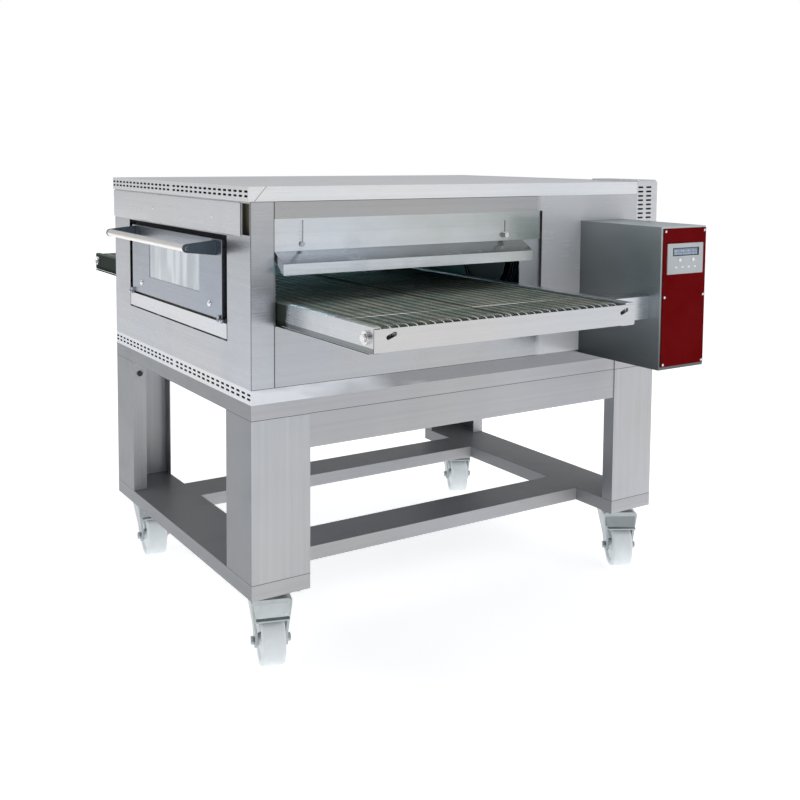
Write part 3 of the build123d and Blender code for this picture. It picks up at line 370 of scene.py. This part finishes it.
def rail_dark_green_and_painted_light(g, colour):
    """Dark green on all of the rail but its exit end, paler along its top edge as a painted highlight, and a
    grey painted shadow line low on that end.
    """
    cloud = g.noise(g.scaled(6.0, 3.0, 3.0), 3.0, 4.0, 0.6)
    place = g.calc("ADD", g.x, g.span(cloud, 0.3, 0.7, -0.015, 0.015))
    # painted shadow: a grey line on the web just above the ledge
    under = band(g, g.z, rail_top - 0.0545, 0.0058, 0.0008)
    colour = g.blend(g.calc("MULTIPLY", under, 0.75), colour, (0.10, 0.12, 0.12))
    green_mask = g.span(place, 0.59, 0.61, 0.95, 0.0)
    g.set(Metallic=g.calc("SUBTRACT", 1.0, green_mask), Specular_IOR_Level=0.0)
    # painted highlight: the dark green is paler along the rail's top edge
    edge = band(g, g.z, rail_top, 0.0025, 0.0015)
    green_tone = g.blend(g.calc("MULTIPLY", edge, 0.5), (0.010, 0.020, 0.012), (0.16, 0.20, 0.16))
    return g.blend(green_mask, colour, green_tone)


LINER_METALLIC = 0.2


def bright_mouth(g, colour):
    """The frames round the tunnel mouths are bright steel."""
    outer = g.span(g.calc("ABSOLUTE", g.x), 0.5205, 0.5215)
    g.set(Metallic=g.calc("MULTIPLY_ADD", outer, 1.0 - LINER_METALLIC, LINER_METALLIC))
    return g.blend(outer, colour, (0.50, 0.52, 0.54))


def pan_shade(g, colour):
    """Painted shade: darker patches on the pan's two sides, growing to the rear; tuned to the photo."""
    cloud = g.noise(g.scaled(1.0, 1.2, 3.0), 2.0, 3.0, 0.6)
    place = g.calc("ADD", g.y, g.span(cloud, 0.3, 0.7, -0.25, 0.25))
    side = g.span(g.calc("ABSOLUTE", g.x), pan_high.x - 0.030, pan_high.x - 0.026)
    darker = g.calc("MULTIPLY", g.span(place, -0.60, -0.25, 0.0, 0.85), side)
    return g.blend(darker, colour, (0.17, 0.175, 0.185))


def box_painted_light_and_shade(g, colour):
    """Painted shade and light on the control box: darker low down and towards the oven, paler high up and
    away from it; tuned to the photo.
    """
    low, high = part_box("control_box")
    rise = g.span(g.z, low.z, high.z, 0.30, 1.25)
    out = g.span(g.x, low.x, high.x, 0.72, 1.25)
    toned = g.add("ShaderNodeVectorMath", operation="SCALE")
    g.put(toned.inputs[0], colour)
    g.put(toned.inputs["Scale"], g.calc("MULTIPLY", rise, out))
    return toned.outputs[0]


TRAY_SOIL = [
    (0.30, (0.04, 0.045, 0.035)),
    (0.55, (0.10, 0.09, 0.07)),
    (0.75, (0.20, 0.18, 0.14)),
]
ENTRY_DARK_GREEN = (0.02, 0.04, 0.025)


def tray_soil(g, colour):
    """Baked-on brown on the tray floors; the exit lip is clean, the entry end dark green."""
    inner = g.span(g.calc("ABSOLUTE", g.x), 1.0155, 1.0150)
    cloud = g.noise(g.coord, 14.0, 5.0, 0.65)
    soiled = g.ramp(cloud, TRAY_SOIL)
    colour = g.blend(g.calc("MULTIPLY", inner, 0.9), colour, soiled)
    return g.blend(g.span(g.x, -0.99, -0.98, 0.9, 0.0), colour, ENTRY_DARK_GREEN)


def build_materials():
    clean = (0.62, 0.635, 0.66)
    m = {
        "sheet": brushed("brushed_sheet", clean, (0.24, 0.36)),
        "front": brushed("front_sheet", (0.44, 0.455, 0.48), (0.24, 0.36), extra=panel_edges("front_panel")),
        "sill": brushed("sill_sheet", clean, (0.24, 0.36), extra=sill_gap_shade),
        "pan": brushed("pan_sheet", clean, (0.24, 0.36), extra=pan_shade),
        # painted light: the roof cover gets a paler tone than the same brushed steel elsewhere
        "fascia": brushed("fascia_sheet", (0.76, 0.78, 0.80), (0.26, 0.36), extra=roof_seams),
        "stand": brushed(
            "stand_sheet", (0.50, 0.515, 0.535), (0.32, 0.46), grain="upright", streak=0.09,
            extra=stand_joints_and_painted_light, metallic=0.6,
        ),
        "stand_level": brushed(
            "stand_rail_sheet", (0.50, 0.505, 0.52), (0.34, 0.48), streak=0.10,
            extra=stand_joints_and_painted_light, metallic=0.25,
        ),
        "side": brushed("side_sheet", (0.40, 0.405, 0.412), (0.17, 0.27), tint=0.8, extra=exit_side_look),
        "gate": brushed("gate_sheet", (0.60, 0.635, 0.67), (0.16, 0.26), extra=heat_tint(-0.45, 0.15)),
        "rail": brushed("rail_sheet", (0.54, 0.56, 0.57), (0.2, 0.3), extra=rail_dark_green_and_painted_light),
        "tray": brushed("tray_sheet", (0.56, 0.565, 0.575), (0.26, 0.36), extra=tray_soil),
        "box": brushed(
            "box_sheet", (0.34, 0.375, 0.375), (0.38, 0.44), tint=0.6, streak=0.03, extra=box_painted_light_and_shade,
        ),
        "liner": brushed(
            "liner_sheet", (0.20, 0.36, 0.37), (0.35, 0.5), grain="none", tint=1.0,
            metallic=LINER_METALLIC, extra=bright_mouth,
        ),
        "door": brushed("door_sheet", (0.34, 0.37, 0.42), (0.25, 0.38)),
        "rail_back": brushed("backing_sheet", (0.6, 0.62, 0.64), (0.25, 0.35)),
        "zinc": brushed("zinc_plate", (0.44, 0.48, 0.49), (0.28, 0.42), grain="none", tint=0.5, streak=0.12),
        "bolt": brushed("bright_steel", (0.74, 0.74, 0.75), (0.2, 0.32), grain="none"),
        "dark": brushed("sooty_steel", (0.09, 0.085, 0.08), (0.4, 0.6), grain="none"),
        "aluminium": brushed("satin_aluminium", (0.82, 0.82, 0.81), (0.32, 0.42)),
        "slate": enamel("slate_paint", (0.055, 0.075, 0.10), 0.38, 200.0, 0.2, metallic=0.2),
        "red": enamel("crimson_paint", (0.13, 0.003, 0.004), 0.42, 260.0, 0.12, shine=0.0),
        "bezel": enamel("grey_plastic", (0.42, 0.45, 0.47), 0.4, 400.0, 0.15),
        "button": enamel("white_plastic", (0.78, 0.78, 0.76), 0.35, 400.0, 0.1),
        "nylon": enamel("nylon_wheel", (0.80, 0.85, 0.87), 0.34, 60.0, 0.2, dust=0.3),
        "black": enamel("black_plastic", (0.02, 0.02, 0.022), 0.45, 300.0, 0.3),
        "motor": enamel("motor_enamel", (0.06, 0.065, 0.075), 0.4, 150.0, 0.3),
        "board": enamel("solder_mask", (0.012, 0.09, 0.04), 0.35, 200.0, 0.1, speck=(0.25, 0.22, 0.1)),
        "wool": enamel("mineral_wool", (0.40, 0.37, 0.29), 0.95, 90.0, 1.0, dust=0.2, speck=(0.55, 0.5, 0.4)),
        # painted shade: near-black finish for the strips in the door gap
        "gap_shade_paint": enamel("door_gap_painted_shade", (0.012, 0.012, 0.014), 0.7, 300.0, 0.3, shine=0.25),
    }
    m["belt"] = belt_wire()
    m["glass"] = window_pane()
    m["screen"] = screen_cover()
    return m


# ---------------------------------------------------------------- materials of the belt and the glass
CELL = 0.0318                # width of one loop of the belt wire
BELT_EDGE = 0.001            # clearance at the outer edges
BELT_GAP = 0.005             # between the two halves of the belt
belt_mid = (belt_low.y + belt_high.y) / 2
half_belt = belt_mid - BELT_GAP / 2 - belt_low.y - BELT_EDGE
belt_step = half_belt / round(half_belt / CELL)
WIRE_HEAT = [
    (0.25, (0.14, 0.20, 0.19)),
    (0.45, (0.21, 0.25, 0.22)),
    (0.60, (0.32, 0.33, 0.27)),
    (0.78, (0.43, 0.45, 0.40)),
]


def belt_wire():
    """Heat-tinted wire, darker at its hooks and round the belt's ends."""
    g = Graph("belt_wire")
    cloud = g.noise(g.scaled(4.0, 2.0, 2.0), 3.5, 5.0, 0.65)
    grit = g.noise(g.coord, 220.0, 2.0, 0.5)
    heat = g.ramp(cloud, WIRE_HEAT)
    colour = g.blend(g.span(grit, 0.45, 0.75, 0.0, 0.5), heat, (0.06, 0.06, 0.05))
    first_wire = belt_low.y + BELT_EDGE
    shift = g.span(g.y, belt_mid - 0.0005, belt_mid + 0.0005, first_wire, first_wire + BELT_GAP)
    cell = g.calc("FRACT", g.calc("DIVIDE", g.calc("SUBTRACT", g.y, shift), belt_step))
    hooks = g.calc("SUBTRACT", 1.0, band(g, cell, 0.5, 0.34, 0.08))
    colour = g.blend(g.calc("MULTIPLY", hooks, 0.62), colour, (0.03, 0.04, 0.036))
    ends = g.span(g.calc("ABSOLUTE", g.x), belt_high.x - 0.026, belt_high.x - 0.006, 0.0, 0.8)
    colour = g.blend(ends, colour, (0.03, 0.06, 0.06))
    g.set(Base_Color=colour, Metallic=1.0, Roughness=g.span(grit, 0.3, 0.7, 0.3, 0.5))
    g.bump(grit, 0.3, 0.0003)
    return g.mat


# painted reflections: pale tones for upright bands on the door glass
PAINTED_REFLECTION_TONES = [
    (0.35, (0.36, 0.41, 0.45)),
    (0.50, (0.47, 0.52, 0.56)),
    (0.62, (0.64, 0.69, 0.73)),
]


def window_pane():
    """Door glass: a dull mirror with upright pale bands of painted reflection, like the photo's reflections.
    """
    g = Graph("window_pane")
    haze_and_painted_reflection = g.noise(g.scaled(6.0, 1.0, 0.9), 4.0, 3.0, 0.5)
    colour = g.ramp(haze_and_painted_reflection, PAINTED_REFLECTION_TONES)
    g.set(Base_Color=colour, Roughness=g.span(haze_and_painted_reflection, 0.3, 0.7, 0.06, 0.14), Metallic=0.35)
    g.set(Transmission_Weight=0.15, IOR=1.5, Coat_Weight=0.6, Coat_Roughness=0.04)
    g.bump(haze_and_painted_reflection, 0.02, 0.001)
    return g.mat


def screen_cover():
    """A display with rows of generic dot characters."""
    g = Graph("screen_cover")
    wide = screen_high.y - screen_low.y
    tall = screen_high.z - screen_low.z
    across = g.calc("DIVIDE", g.calc("SUBTRACT", g.y, screen_low.y), wide)
    up = g.calc("DIVIDE", g.calc("SUBTRACT", g.z, screen_low.z), tall)
    inside = g.calc("MULTIPLY", band(g, across, 0.5, 0.44, 0.01), band(g, up, 0.5, 0.36, 0.03))
    cell = g.calc("FRACT", g.calc("MULTIPLY", across, 16.0))
    row = g.calc("FRACT", g.calc("MULTIPLY", up, 2.6))
    dot = g.calc("MULTIPLY", band(g, cell, 0.5, 0.3, 0.08), band(g, row, 0.55, 0.28, 0.08))
    gaps = g.noise(g.scaled(0.0, 150.0, 60.0), 1.0, 1.0, 0.5)
    dot = g.calc("MULTIPLY", dot, g.span(gaps, 0.42, 0.5))
    glow = g.blend(g.calc("MULTIPLY", dot, 0.6), (0.17, 0.24, 0.33), (0.5, 0.58, 0.64))
    colour = g.blend(inside, (0.012, 0.014, 0.02), glow)
    g.set(Base_Color=colour, Roughness=g.span(inside, 0.0, 1.0, 0.25, 0.18))
    return g.mat


mats = build_materials()

USES = {
    "front": "front_panel",
    "pan": "base_pan",
    "sill": "sill_panel",
    "sheet": "rear_casing roof_rear_cap drive_housing rear_rail upper_front_cover",
    "fascia": "roof_cover",
    "side": "exit_side_panel entry_side_panel",
    "stand": "stand_legs",
    "stand_level": "lower_cross_rails lower_side_beams top_frame",
    "gate": "exit_gate entry_gate",
    "rail": "front_rail",
    "tray": "exit_crumb_tray entry_crumb_tray",
    "box": "control_box",
    "liner": "chamber_liner air_jet_boxes",
    "door": "door_frame",
    "zinc": "caster_plates",
    "bolt": "door_bolts door_hinge_pins exit_gate_knob entry_gate_knob drive_shaft idler_shaft "
            "shaft_bearings drive_spindle panel_screws",
    "dark": "heating_elements fan_impeller belt_support_frame",
    "aluminium": "door_handle_bar",
    "slate": "handle_brackets",
    "red": "control_panel",
    "bezel": "display_bezel",
    "button": "button_left button_right",
    "black": "cable_gland",
    "motor": "fan_motor gearmotor",
    "board": "control_board",
    "wool": "chamber_insulation",
    "glass": "door_glass",
    "screen": "display",
    "belt": "wire_belt drive_chain",
}
for key, names in USES.items():
    for name in names.split():
        nodes[name].data.materials.clear()
        nodes[name].data.materials.append(mats[key])
for name, obj in nodes.items():
    for start, key in (("caster_fork", "zinc"), ("caster_wheel", "nylon")):
        if name.startswith(start):
            obj.data.materials.clear()
            obj.data.materials.append(mats[key])

# every CAD node is shaded smooth except across sharp edges
SMOOTH_ANGLE = math.radians(35)
for name, obj in nodes.items():
    obj.data.polygons.foreach_set("use_smooth", [True] * len(obj.data.polygons))
    obj.data.set_sharp_from_angle(angle=SMOOTH_ANGLE)


# ---------------------------------------------------------------- woven belt
BELT_Z = (belt_low.z + belt_high.z) / 2
WIRE_R = 0.0012
BELT_R = (belt_high.z - belt_low.z) / 2 - WIRE_R
HALF_RUN = belt_high.x - (belt_high.z - belt_low.z) / 2
LOOP = 4 * HALF_RUN + 2 * math.pi * BELT_R
WIRES = 420
PITCH = LOOP / WIRES
HOOK = 0.0022                # half length of the loop that catches the next wire
WOBBLE = 0.0006
SPLICE_AT = 0.851            # arc length from the middle of the top run to the joining wire
SPLICE_R = 0.0015


def on_loop(s):
    """The point of the belt loop at arc length s, from the middle of the top run towards +X."""
    s %= LOOP
    arc = math.pi * BELT_R
    if s < HALF_RUN:
        return s, BELT_Z + BELT_R
    s -= HALF_RUN
    if s < arc:
        a = s / BELT_R
        return HALF_RUN + BELT_R * math.sin(a), BELT_Z + BELT_R * math.cos(a)
    s -= arc
    if s < 2 * HALF_RUN:
        return HALF_RUN - s, BELT_Z - BELT_R
    s -= 2 * HALF_RUN
    if s < arc:
        a = s / BELT_R
        return -HALF_RUN - BELT_R * math.sin(a), BELT_Z - BELT_R * math.cos(a)
    return s - arc - HALF_RUN, BELT_Z + BELT_R


def belt_half(name, y0, y1):
    """Zig-zag wires across one half of the belt, each hooked round the one before it."""
    shape = Shape()
    cells = round((y1 - y0) / CELL)
    step = (y1 - y0) / cells
    for i in range(WIRES):
        s = i * PITCH
        ahead = s + random.uniform(-WOBBLE, WOBBLE)
        back = s - PITCH - WIRE_R
        path = [(s, y0)]
        for k in range(1, cells):
            y = y0 + k * step
            path += [(ahead, y - HOOK * 1.6), (back, y - HOOK * 0.7)]
            path += [(back, y + HOOK * 0.7), (ahead, y + HOOK * 1.6)]
        path.append((s, y1))
        points = []
        for a, y in path:
            x, z = on_loop(a)
            points.append(Vector((x, y, z)))
        shape.tube(points, WIRE_R, 4)
    return shape.make(name, mats["belt"], "oven", True)


belt_sides = (
    (belt_low.y + BELT_EDGE, belt_mid - BELT_GAP / 2),
    (belt_mid + BELT_GAP / 2, belt_high.y - BELT_EDGE),
)
belt_pieces = [
    belt_half("belt_weave_front", *belt_sides[0]),
    belt_half("belt_weave_rear", *belt_sides[1]),
]
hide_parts("wire_belt")

splice = Shape()
for s in (SPLICE_AT, LOOP - SPLICE_AT):
    x, z = on_loop(s)
    for y0, y1 in belt_sides:
        splice.tube([Vector((x, y0, z)), Vector((x, y1, z))], SPLICE_R, 6)
splice.make("belt_splice_wires", mats["bolt"], "oven", True)


# ---------------------------------------------------------------- roller chain
chain_low, chain_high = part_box("drive_chain")
shaft_low, shaft_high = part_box("drive_shaft")
spindle_low, spindle_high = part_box("drive_spindle")
SPROCKET_R = 0.0195
CHAIN_PITCH = 0.0127
# a roller with its pin: (radius, distance along the pin)
ROLLER = [
    (0.0, -0.0036), (0.0014, -0.0036), (0.0014, -0.0018), (0.0024, -0.0018),
    (0.0024, 0.0018), (0.0014, 0.0018), (0.0014, 0.0036), (0.0, 0.0036),
]
OUTER_PLATE, INNER_PLATE = 0.0030, 0.0022
PLATE_HALF_WIDTH = 0.0021
PLATE_SHEET = 0.0005


def chain():
    """Rollers and link plates round the spindle's and the shaft's sprockets."""
    shape = Shape()
    y_mid = (chain_low.y + chain_high.y) / 2
    radius = SPROCKET_R
    a = Vector(((spindle_low.x + spindle_high.x) / 2, y_mid, (spindle_low.z + spindle_high.z) / 2))
    b = Vector(((shaft_low.x + shaft_high.x) / 2, y_mid, BELT_Z))
    along = (b - a).normalized()
    up = Vector((0, 1, 0)).cross(along) * -1
    run = (b - a).length
    total = 2 * run + 2 * math.pi * radius
    count = 2 * round(total / (2 * CHAIN_PITCH))
    points = []
    for i in range(count):
        s = total * i / count
        if s < run:
            p = a + along * s + up * radius
        elif s < run + math.pi * radius:
            t = (s - run) / radius
            p = b + along * radius * math.sin(t) + up * radius * math.cos(t)
        elif s < 2 * run + math.pi * radius:
            p = b - along * (s - run - math.pi * radius) - up * radius
        else:
            t = (s - 2 * run - math.pi * radius) / radius
            p = a - along * radius * math.sin(t) - up * radius * math.cos(t)
        points.append(p)
    for i, p in enumerate(points):
        shape.turned(ROLLER, p, (0, 1, 0), 8)
        q = points[(i + 1) % count]
        offset = OUTER_PLATE if i % 2 else INNER_PLATE
        for side in (-1, 1):
            mid = (p + q) / 2
            d = q - p
            n = Vector((0, 1, 0)).cross(d).normalized() * PLATE_HALF_WIDTH
            y = Vector((0, side * offset, 0))
            thick = Vector((0, side * PLATE_SHEET, 0))
            base = len(shape.verts)
            ring = [p - d * 0.18, p + n, mid + n * 0.7, q + n, q + d * 0.18, q - n, mid - n * 0.7, p - n]
            for w in (y, y + thick):
                shape.verts += [v + w for v in ring]
            shape.faces.append(tuple(base + k for k in range(8)))
            shape.faces.append(tuple(base + 8 + k for k in reversed(range(8))))
            for k in range(8):
                m = (k + 1) % 8
                shape.faces.append((base + k, base + m, base + 8 + m, base + 8 + k))
    return shape.make("roller_chain", mats["dark"], "oven")


roller_chain = chain()
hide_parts("drive_chain")


# ---------------------------------------------------------------- small hardware
def hexagon(shape, centre, axis, across, thick, crown=0.0008):
    """A nut or bolt head, measured across its flats."""
    r = across / math.sqrt(3)
    shape.turned([(r, 0), (r, thick - crown), (r * 0.88, thick)], centre, axis, 6, math.pi / 6)


def dome(shape, centre, axis, radius, height, steps=5, sides=20):
    """A round screw head."""
    profile = []
    for k in range(steps + 1):
        t = math.pi / 2 * k / steps
        profile.append((max(radius * math.cos(t), 0.00005), height * math.sin(t)))
    shape.turned(profile, centre, axis, sides)


COVER_SCREW_X = (-0.16, 0.30)
COVER_SCREW_RISE = 0.045
cover_screws = Shape()
for x in COVER_SCREW_X:
    place = Vector((x, cover_low.y, cover_low.z + COVER_SCREW_RISE))
    dome(cover_screws, place, (0, -1, 0), 0.005, 0.0016)
cover_screws.make("cover_screws", mats["bolt"], "oven", True)

NUT_STANDOFF = 0.0085        # from the front rail's face to the foot of the nut
for side, name in ((1, "drive"), (-1, "idler")):
    nut = Shape()
    end = Vector((side * HALF_RUN, rail_low.y - NUT_STANDOFF, BELT_Z))
    hexagon(nut, end, (0, -1, 0), 0.019, 0.005)
    nut.make(f"{name}_shaft_nut", mats["bolt"], f"{name}_shaft")

# painted shade: near-black strips put in the gap beside and above the door
DOOR_HALF = 0.3585
DOOR_RISE = 0.2190
STRIP_DEPTH = (0.0175, 0.0215)   # behind the front panel's face
gap_shade_strips = Shape()
door_low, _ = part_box("door_frame")
strip_foot, strip_head = cover_low.z - OPENING_DROP, cover_low.z + 0.010
for x0, x1, z0, z1 in (
    (-OPENING_X, -DOOR_HALF, strip_foot, strip_head),
    (DOOR_HALF, OPENING_X, strip_foot, strip_head),
    (-DOOR_HALF, DOOR_HALF, door_low.z + DOOR_RISE, strip_head),
):
    gap_shade_strips.slab((x0, front_low.y + STRIP_DEPTH[0], z0), (x1, front_low.y + STRIP_DEPTH[1], z1), 0.0008)
gap_shade_strips.make("door_gap_shade_strips", mats["gap_shade_paint"], "oven")

screws = Shape()
bar_low, bar_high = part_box("door_handle_bar")
_, bracket_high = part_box("handle_brackets")
bar_mid = (bar_low + bar_high) / 2
for side in (-1, 1):
    place = Vector((side * (bracket_high.x - 0.0015), bar_mid.y, bar_mid.z))
    dome(screws, place, (side, 0, 0), 0.0052, 0.0014)
screws.make("handle_end_screws", mats["bolt"], "door", True)

bolts_low, bolts_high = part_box("door_bolts")
bolt_r = (bolts_high.z - bolts_low.z) / 2
BOLT_HEAD = [(0.0100, 0.0), (0.0100, 0.0030), (0.0086, 0.0052), (0.0050, 0.0064)]
bolt_heads = Shape()
for side in (-1, 1):
    foot = Vector((side * (bolts_high.x - bolt_r), bolts_low.y + 0.0060, bolts_low.z + bolt_r))
    bolt_heads.turned(BOLT_HEAD, foot, (0, -1, 0))
bolt_heads.make("door_bolt_heads", mats["bolt"], "door", True)

leg_low, leg_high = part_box("stand_legs")
LEG_WIDTH = 0.160
LEG_BOLT_IN, LEG_BOLT_DROP = 0.024, 0.042   # from the leg's outer edge and from its top
leg_bolts = Shape()
flange_x = leg_high.x - LEG_WIDTH
for side in (-1, 1):
    for y in (leg_low.y + LEG_BOLT_IN, leg_high.y - LEG_BOLT_IN):
        place = Vector((side * flange_x, y, leg_high.z - LEG_BOLT_DROP))
        hexagon(leg_bolts, place, (-side, 0, 0), 0.017, 0.006)
leg_bolts.make("leg_flange_bolts", mats["black"], "oven")

# bright strips behind the gates' adjustment slots
SLOT_Y = (0.149, -0.537)
SLOT_HALF = 0.016
SLOT_DROP = (0.126, 0.036)
BACKING_X = (0.5292, 0.5300)
backing = Shape()
for side in (-1, 1):
    x0, x1 = sorted(side * x for x in BACKING_X)
    for y in SLOT_Y:
        low_corner = (x0, y - SLOT_HALF, gate_high.z - SLOT_DROP[0])
        backing.slab(low_corner, (x1, y + SLOT_HALF, gate_high.z - SLOT_DROP[1]))
backing.make("gate_slot_backing", mats["rail_back"], "oven")

# thin ledge low on the front rail, from the side panel to just short of the end
LEDGE_X = 0.5455
LEDGE_DROP = (0.0635, 0.0617)
ledge = Shape()
for side in (-1, 1):
    x0, x1 = sorted((side * LEDGE_X, side * (rail_high.x - 0.012)))
    low_corner = (x0, rail_low.y - 0.007, rail_top - LEDGE_DROP[0])
    ledge.slab(low_corner, (x1, rail_low.y + 0.002, rail_top - LEDGE_DROP[1]), 0.0003)
ledge.make("rail_drip_edges", mats["rail"], "oven")

# bright hooks bent round both end rollers, with their tips pressed into the belt
TIP_SINK = 0.0007
HOOK_POINTS = 9
HOOK_SPACING = 0.0254
comb = Shape()
y = belt_low.y + 0.012
while y < belt_high.y - 0.010:
    for side in (-1, 1):
        points = []
        for k in range(HOOK_POINTS):
            x, z = on_loop(HALF_RUN - 0.020 + k * 0.0062)
            p = Vector((x, y, z))
            out = (p - Vector((min(x, HALF_RUN), y, BELT_Z))).normalized()
            if k in (0, HOOK_POINTS - 1):
                p = p - out * TIP_SINK
            points.append(Vector((side * p.x, p.y, p.z)))
        comb.tube(points, 0.0013, 5, up=Vector((0, 1, 0)))
    y += HOOK_SPACING
comb.make("belt_end_hooks", mats["bolt"], "oven", True)

# small pale marks on the display bezel
MARKS, MARK_SPACING = 4, 0.0265
MARK_HALF = (0.004, 0.0025)     # along Y and Z
marks = Shape()
mark_z = bezel_low.z + 0.020
for k in range(MARKS):
    y = bezel_low.y + 0.036 + MARK_SPACING * k
    low_corner = (bezel_high.x - 0.0002, y - MARK_HALF[0], mark_z - MARK_HALF[1])
    marks.slab(low_corner, (bezel_high.x + 0.0004, y + MARK_HALF[0], mark_z + MARK_HALF[1]), 0.0003)
marks.make("bezel_marks", mats["button"], "oven")

# ---------------------------------------------------------------- stage, light and camera
floor_mat = Graph("studio_floor")
paper = floor_mat.noise(floor_mat.coord, 0.8, 2.0, 0.5)
paper_tone = floor_mat.ramp(paper, [(0.0, (0.86, 0.86, 0.86)), (1.0, (0.9, 0.9, 0.9))])
floor_mat.set(Base_Color=paper_tone, Roughness=0.8)
floor_mat.set(Emission_Color=(1.0, 1.0, 1.0), Emission_Strength=0.55)
FLOOR_HALF, FLOOR_Z = 30.0, -0.0005
floor = bpy.data.meshes.new("studio_floor")
corners = ((-1, -1), (1, -1), (1, 1), (-1, 1))
floor.from_pydata([(x * FLOOR_HALF, y * FLOOR_HALF, FLOOR_Z) for x, y in corners], [], [(0, 1, 2, 3)])
floor_obj = bpy.data.objects.new("studio_floor", floor)
bpy.context.scene.collection.objects.link(floor_obj)
floor.materials.append(floor_mat.mat)

# the studio is dark towards one corner and brighter towards +X; cameras see plain white
DARK_CORNER = (0.83, -0.55, 0.1)
world = bpy.data.worlds.new("studio")
bpy.context.scene.world = world
world.use_nodes = True
wt = world.node_tree
background = wt.nodes["Background"]
direction = wt.nodes.new("ShaderNodeTexCoord").outputs["Generated"]
toward = wt.nodes.new("ShaderNodeVectorMath")
toward.operation = "DOT_PRODUCT"
wt.links.new(direction, toward.inputs[0])
toward.inputs[1].default_value = DARK_CORNER
shade = wt.nodes.new("ShaderNodeValToRGB")
wt.links.new(toward.outputs["Value"], shade.inputs[0])
stops = shade.color_ramp.elements
stops[0].position = 0.55
stops[0].color = (0.93, 0.94, 0.96, 1)
stops[1].position = 0.97
stops[1].color = (0.14, 0.15, 0.16, 1)
wt.links.new(shade.outputs[0], background.inputs["Color"])
across_sky = wt.nodes.new("ShaderNodeSeparateXYZ")
wt.links.new(direction, across_sky.inputs[0])
rise = wt.nodes.new("ShaderNodeMapRange")
wt.links.new(across_sky.outputs[0], rise.inputs["Value"])
rise.inputs["From Min"].default_value = -1.0
rise.inputs["To Min"].default_value = 0.52
rise.inputs["To Max"].default_value = 0.82
wt.links.new(rise.outputs[0], background.inputs["Strength"])
seen = wt.nodes.new("ShaderNodeLightPath")
plain = wt.nodes.new("ShaderNodeBackground")
plain.inputs["Color"].default_value = (1, 1, 1, 1)
either = wt.nodes.new("ShaderNodeMixShader")
wt.links.new(seen.outputs["Is Camera Ray"], either.inputs[0])
wt.links.new(background.outputs[0], either.inputs[1])
wt.links.new(plain.outputs[0], either.inputs[2])
wt.links.new(either.outputs[0], wt.nodes["World Output"].inputs["Surface"])


def softbox(name, place, aim, width, height, power):
    light = bpy.data.lights.new(name, "AREA")
    light.shape = "RECTANGLE"
    light.size = width
    light.size_y = height
    light.energy = power
    lamp = bpy.data.objects.new(name, light)
    bpy.context.scene.collection.objects.link(lamp)
    lamp.location = place
    lamp.rotation_mode = "QUATERNION"
    lamp.rotation_quaternion = (Vector(aim) - Vector(place)).to_track_quat("-Z", "Y")
    return lamp


softbox("key_light", (-2.2, -4.2, 3.6), (0, 0, 0.8), 3.0, 2.0, 26)
softbox("side_light", (4.6, 2.4, 3.2), (0, 0, 0.8), 3.0, 2.0, 20)
softbox("low_fill", (4.4, -1.3, 1.15), (0.2, -0.1, 0.7), 1.2, 0.6, 11)
softbox("top_light", (0.0, 0.0, 5.0), (0, 0, 0), 4.0, 4.0, 60)
tunnel_fill = softbox("tunnel_fill", (-0.40, -0.2, BELT_Z + 0.105), (0.35, -0.2, BELT_Z), 0.6, 0.03, 0.8)
tunnel_fill.data.color = (0.55, 0.88, 1.0)
tunnel_fill.visible_camera = False

camera_data = bpy.data.cameras.new("photo_view")
camera = bpy.data.objects.new("photo_view", camera_data)
bpy.context.scene.collection.objects.link(camera)
YAW, PITCH_DOWN, ROLL = 1.0032, 0.0773, 0.0063
CAMERA_X, CAMERA_Y, CAMERA_RISE = 2.9780, -1.8388, 0.0852   # the rise is above the roof
LENS, SHIFT_X, SHIFT_Y = 47.03, 0.0203, -0.2062
camera.location = (CAMERA_X, CAMERA_Y, roof_high.z + CAMERA_RISE)
level = math.cos(PITCH_DOWN)
ahead = Vector((-math.sin(YAW) * level, math.cos(YAW) * level, -math.sin(PITCH_DOWN)))
right = Vector((math.cos(YAW), math.sin(YAW), 0))
upward = right.cross(ahead)
rolled_right = right * math.cos(ROLL) + upward * math.sin(ROLL)
rolled_up = upward * math.cos(ROLL) - right * math.sin(ROLL)
camera.rotation_mode = "QUATERNION"
camera.rotation_quaternion = Matrix((rolled_right, rolled_up, -ahead)).transposed().to_quaternion()
camera_data.sensor_width = 36.0
camera_data.lens = LENS
camera_data.shift_x = SHIFT_X
camera_data.shift_y = SHIFT_Y
camera_data.clip_end = 100
bpy.context.scene.camera = camera
bpy.context.scene.view_settings.view_transform = "Standard"
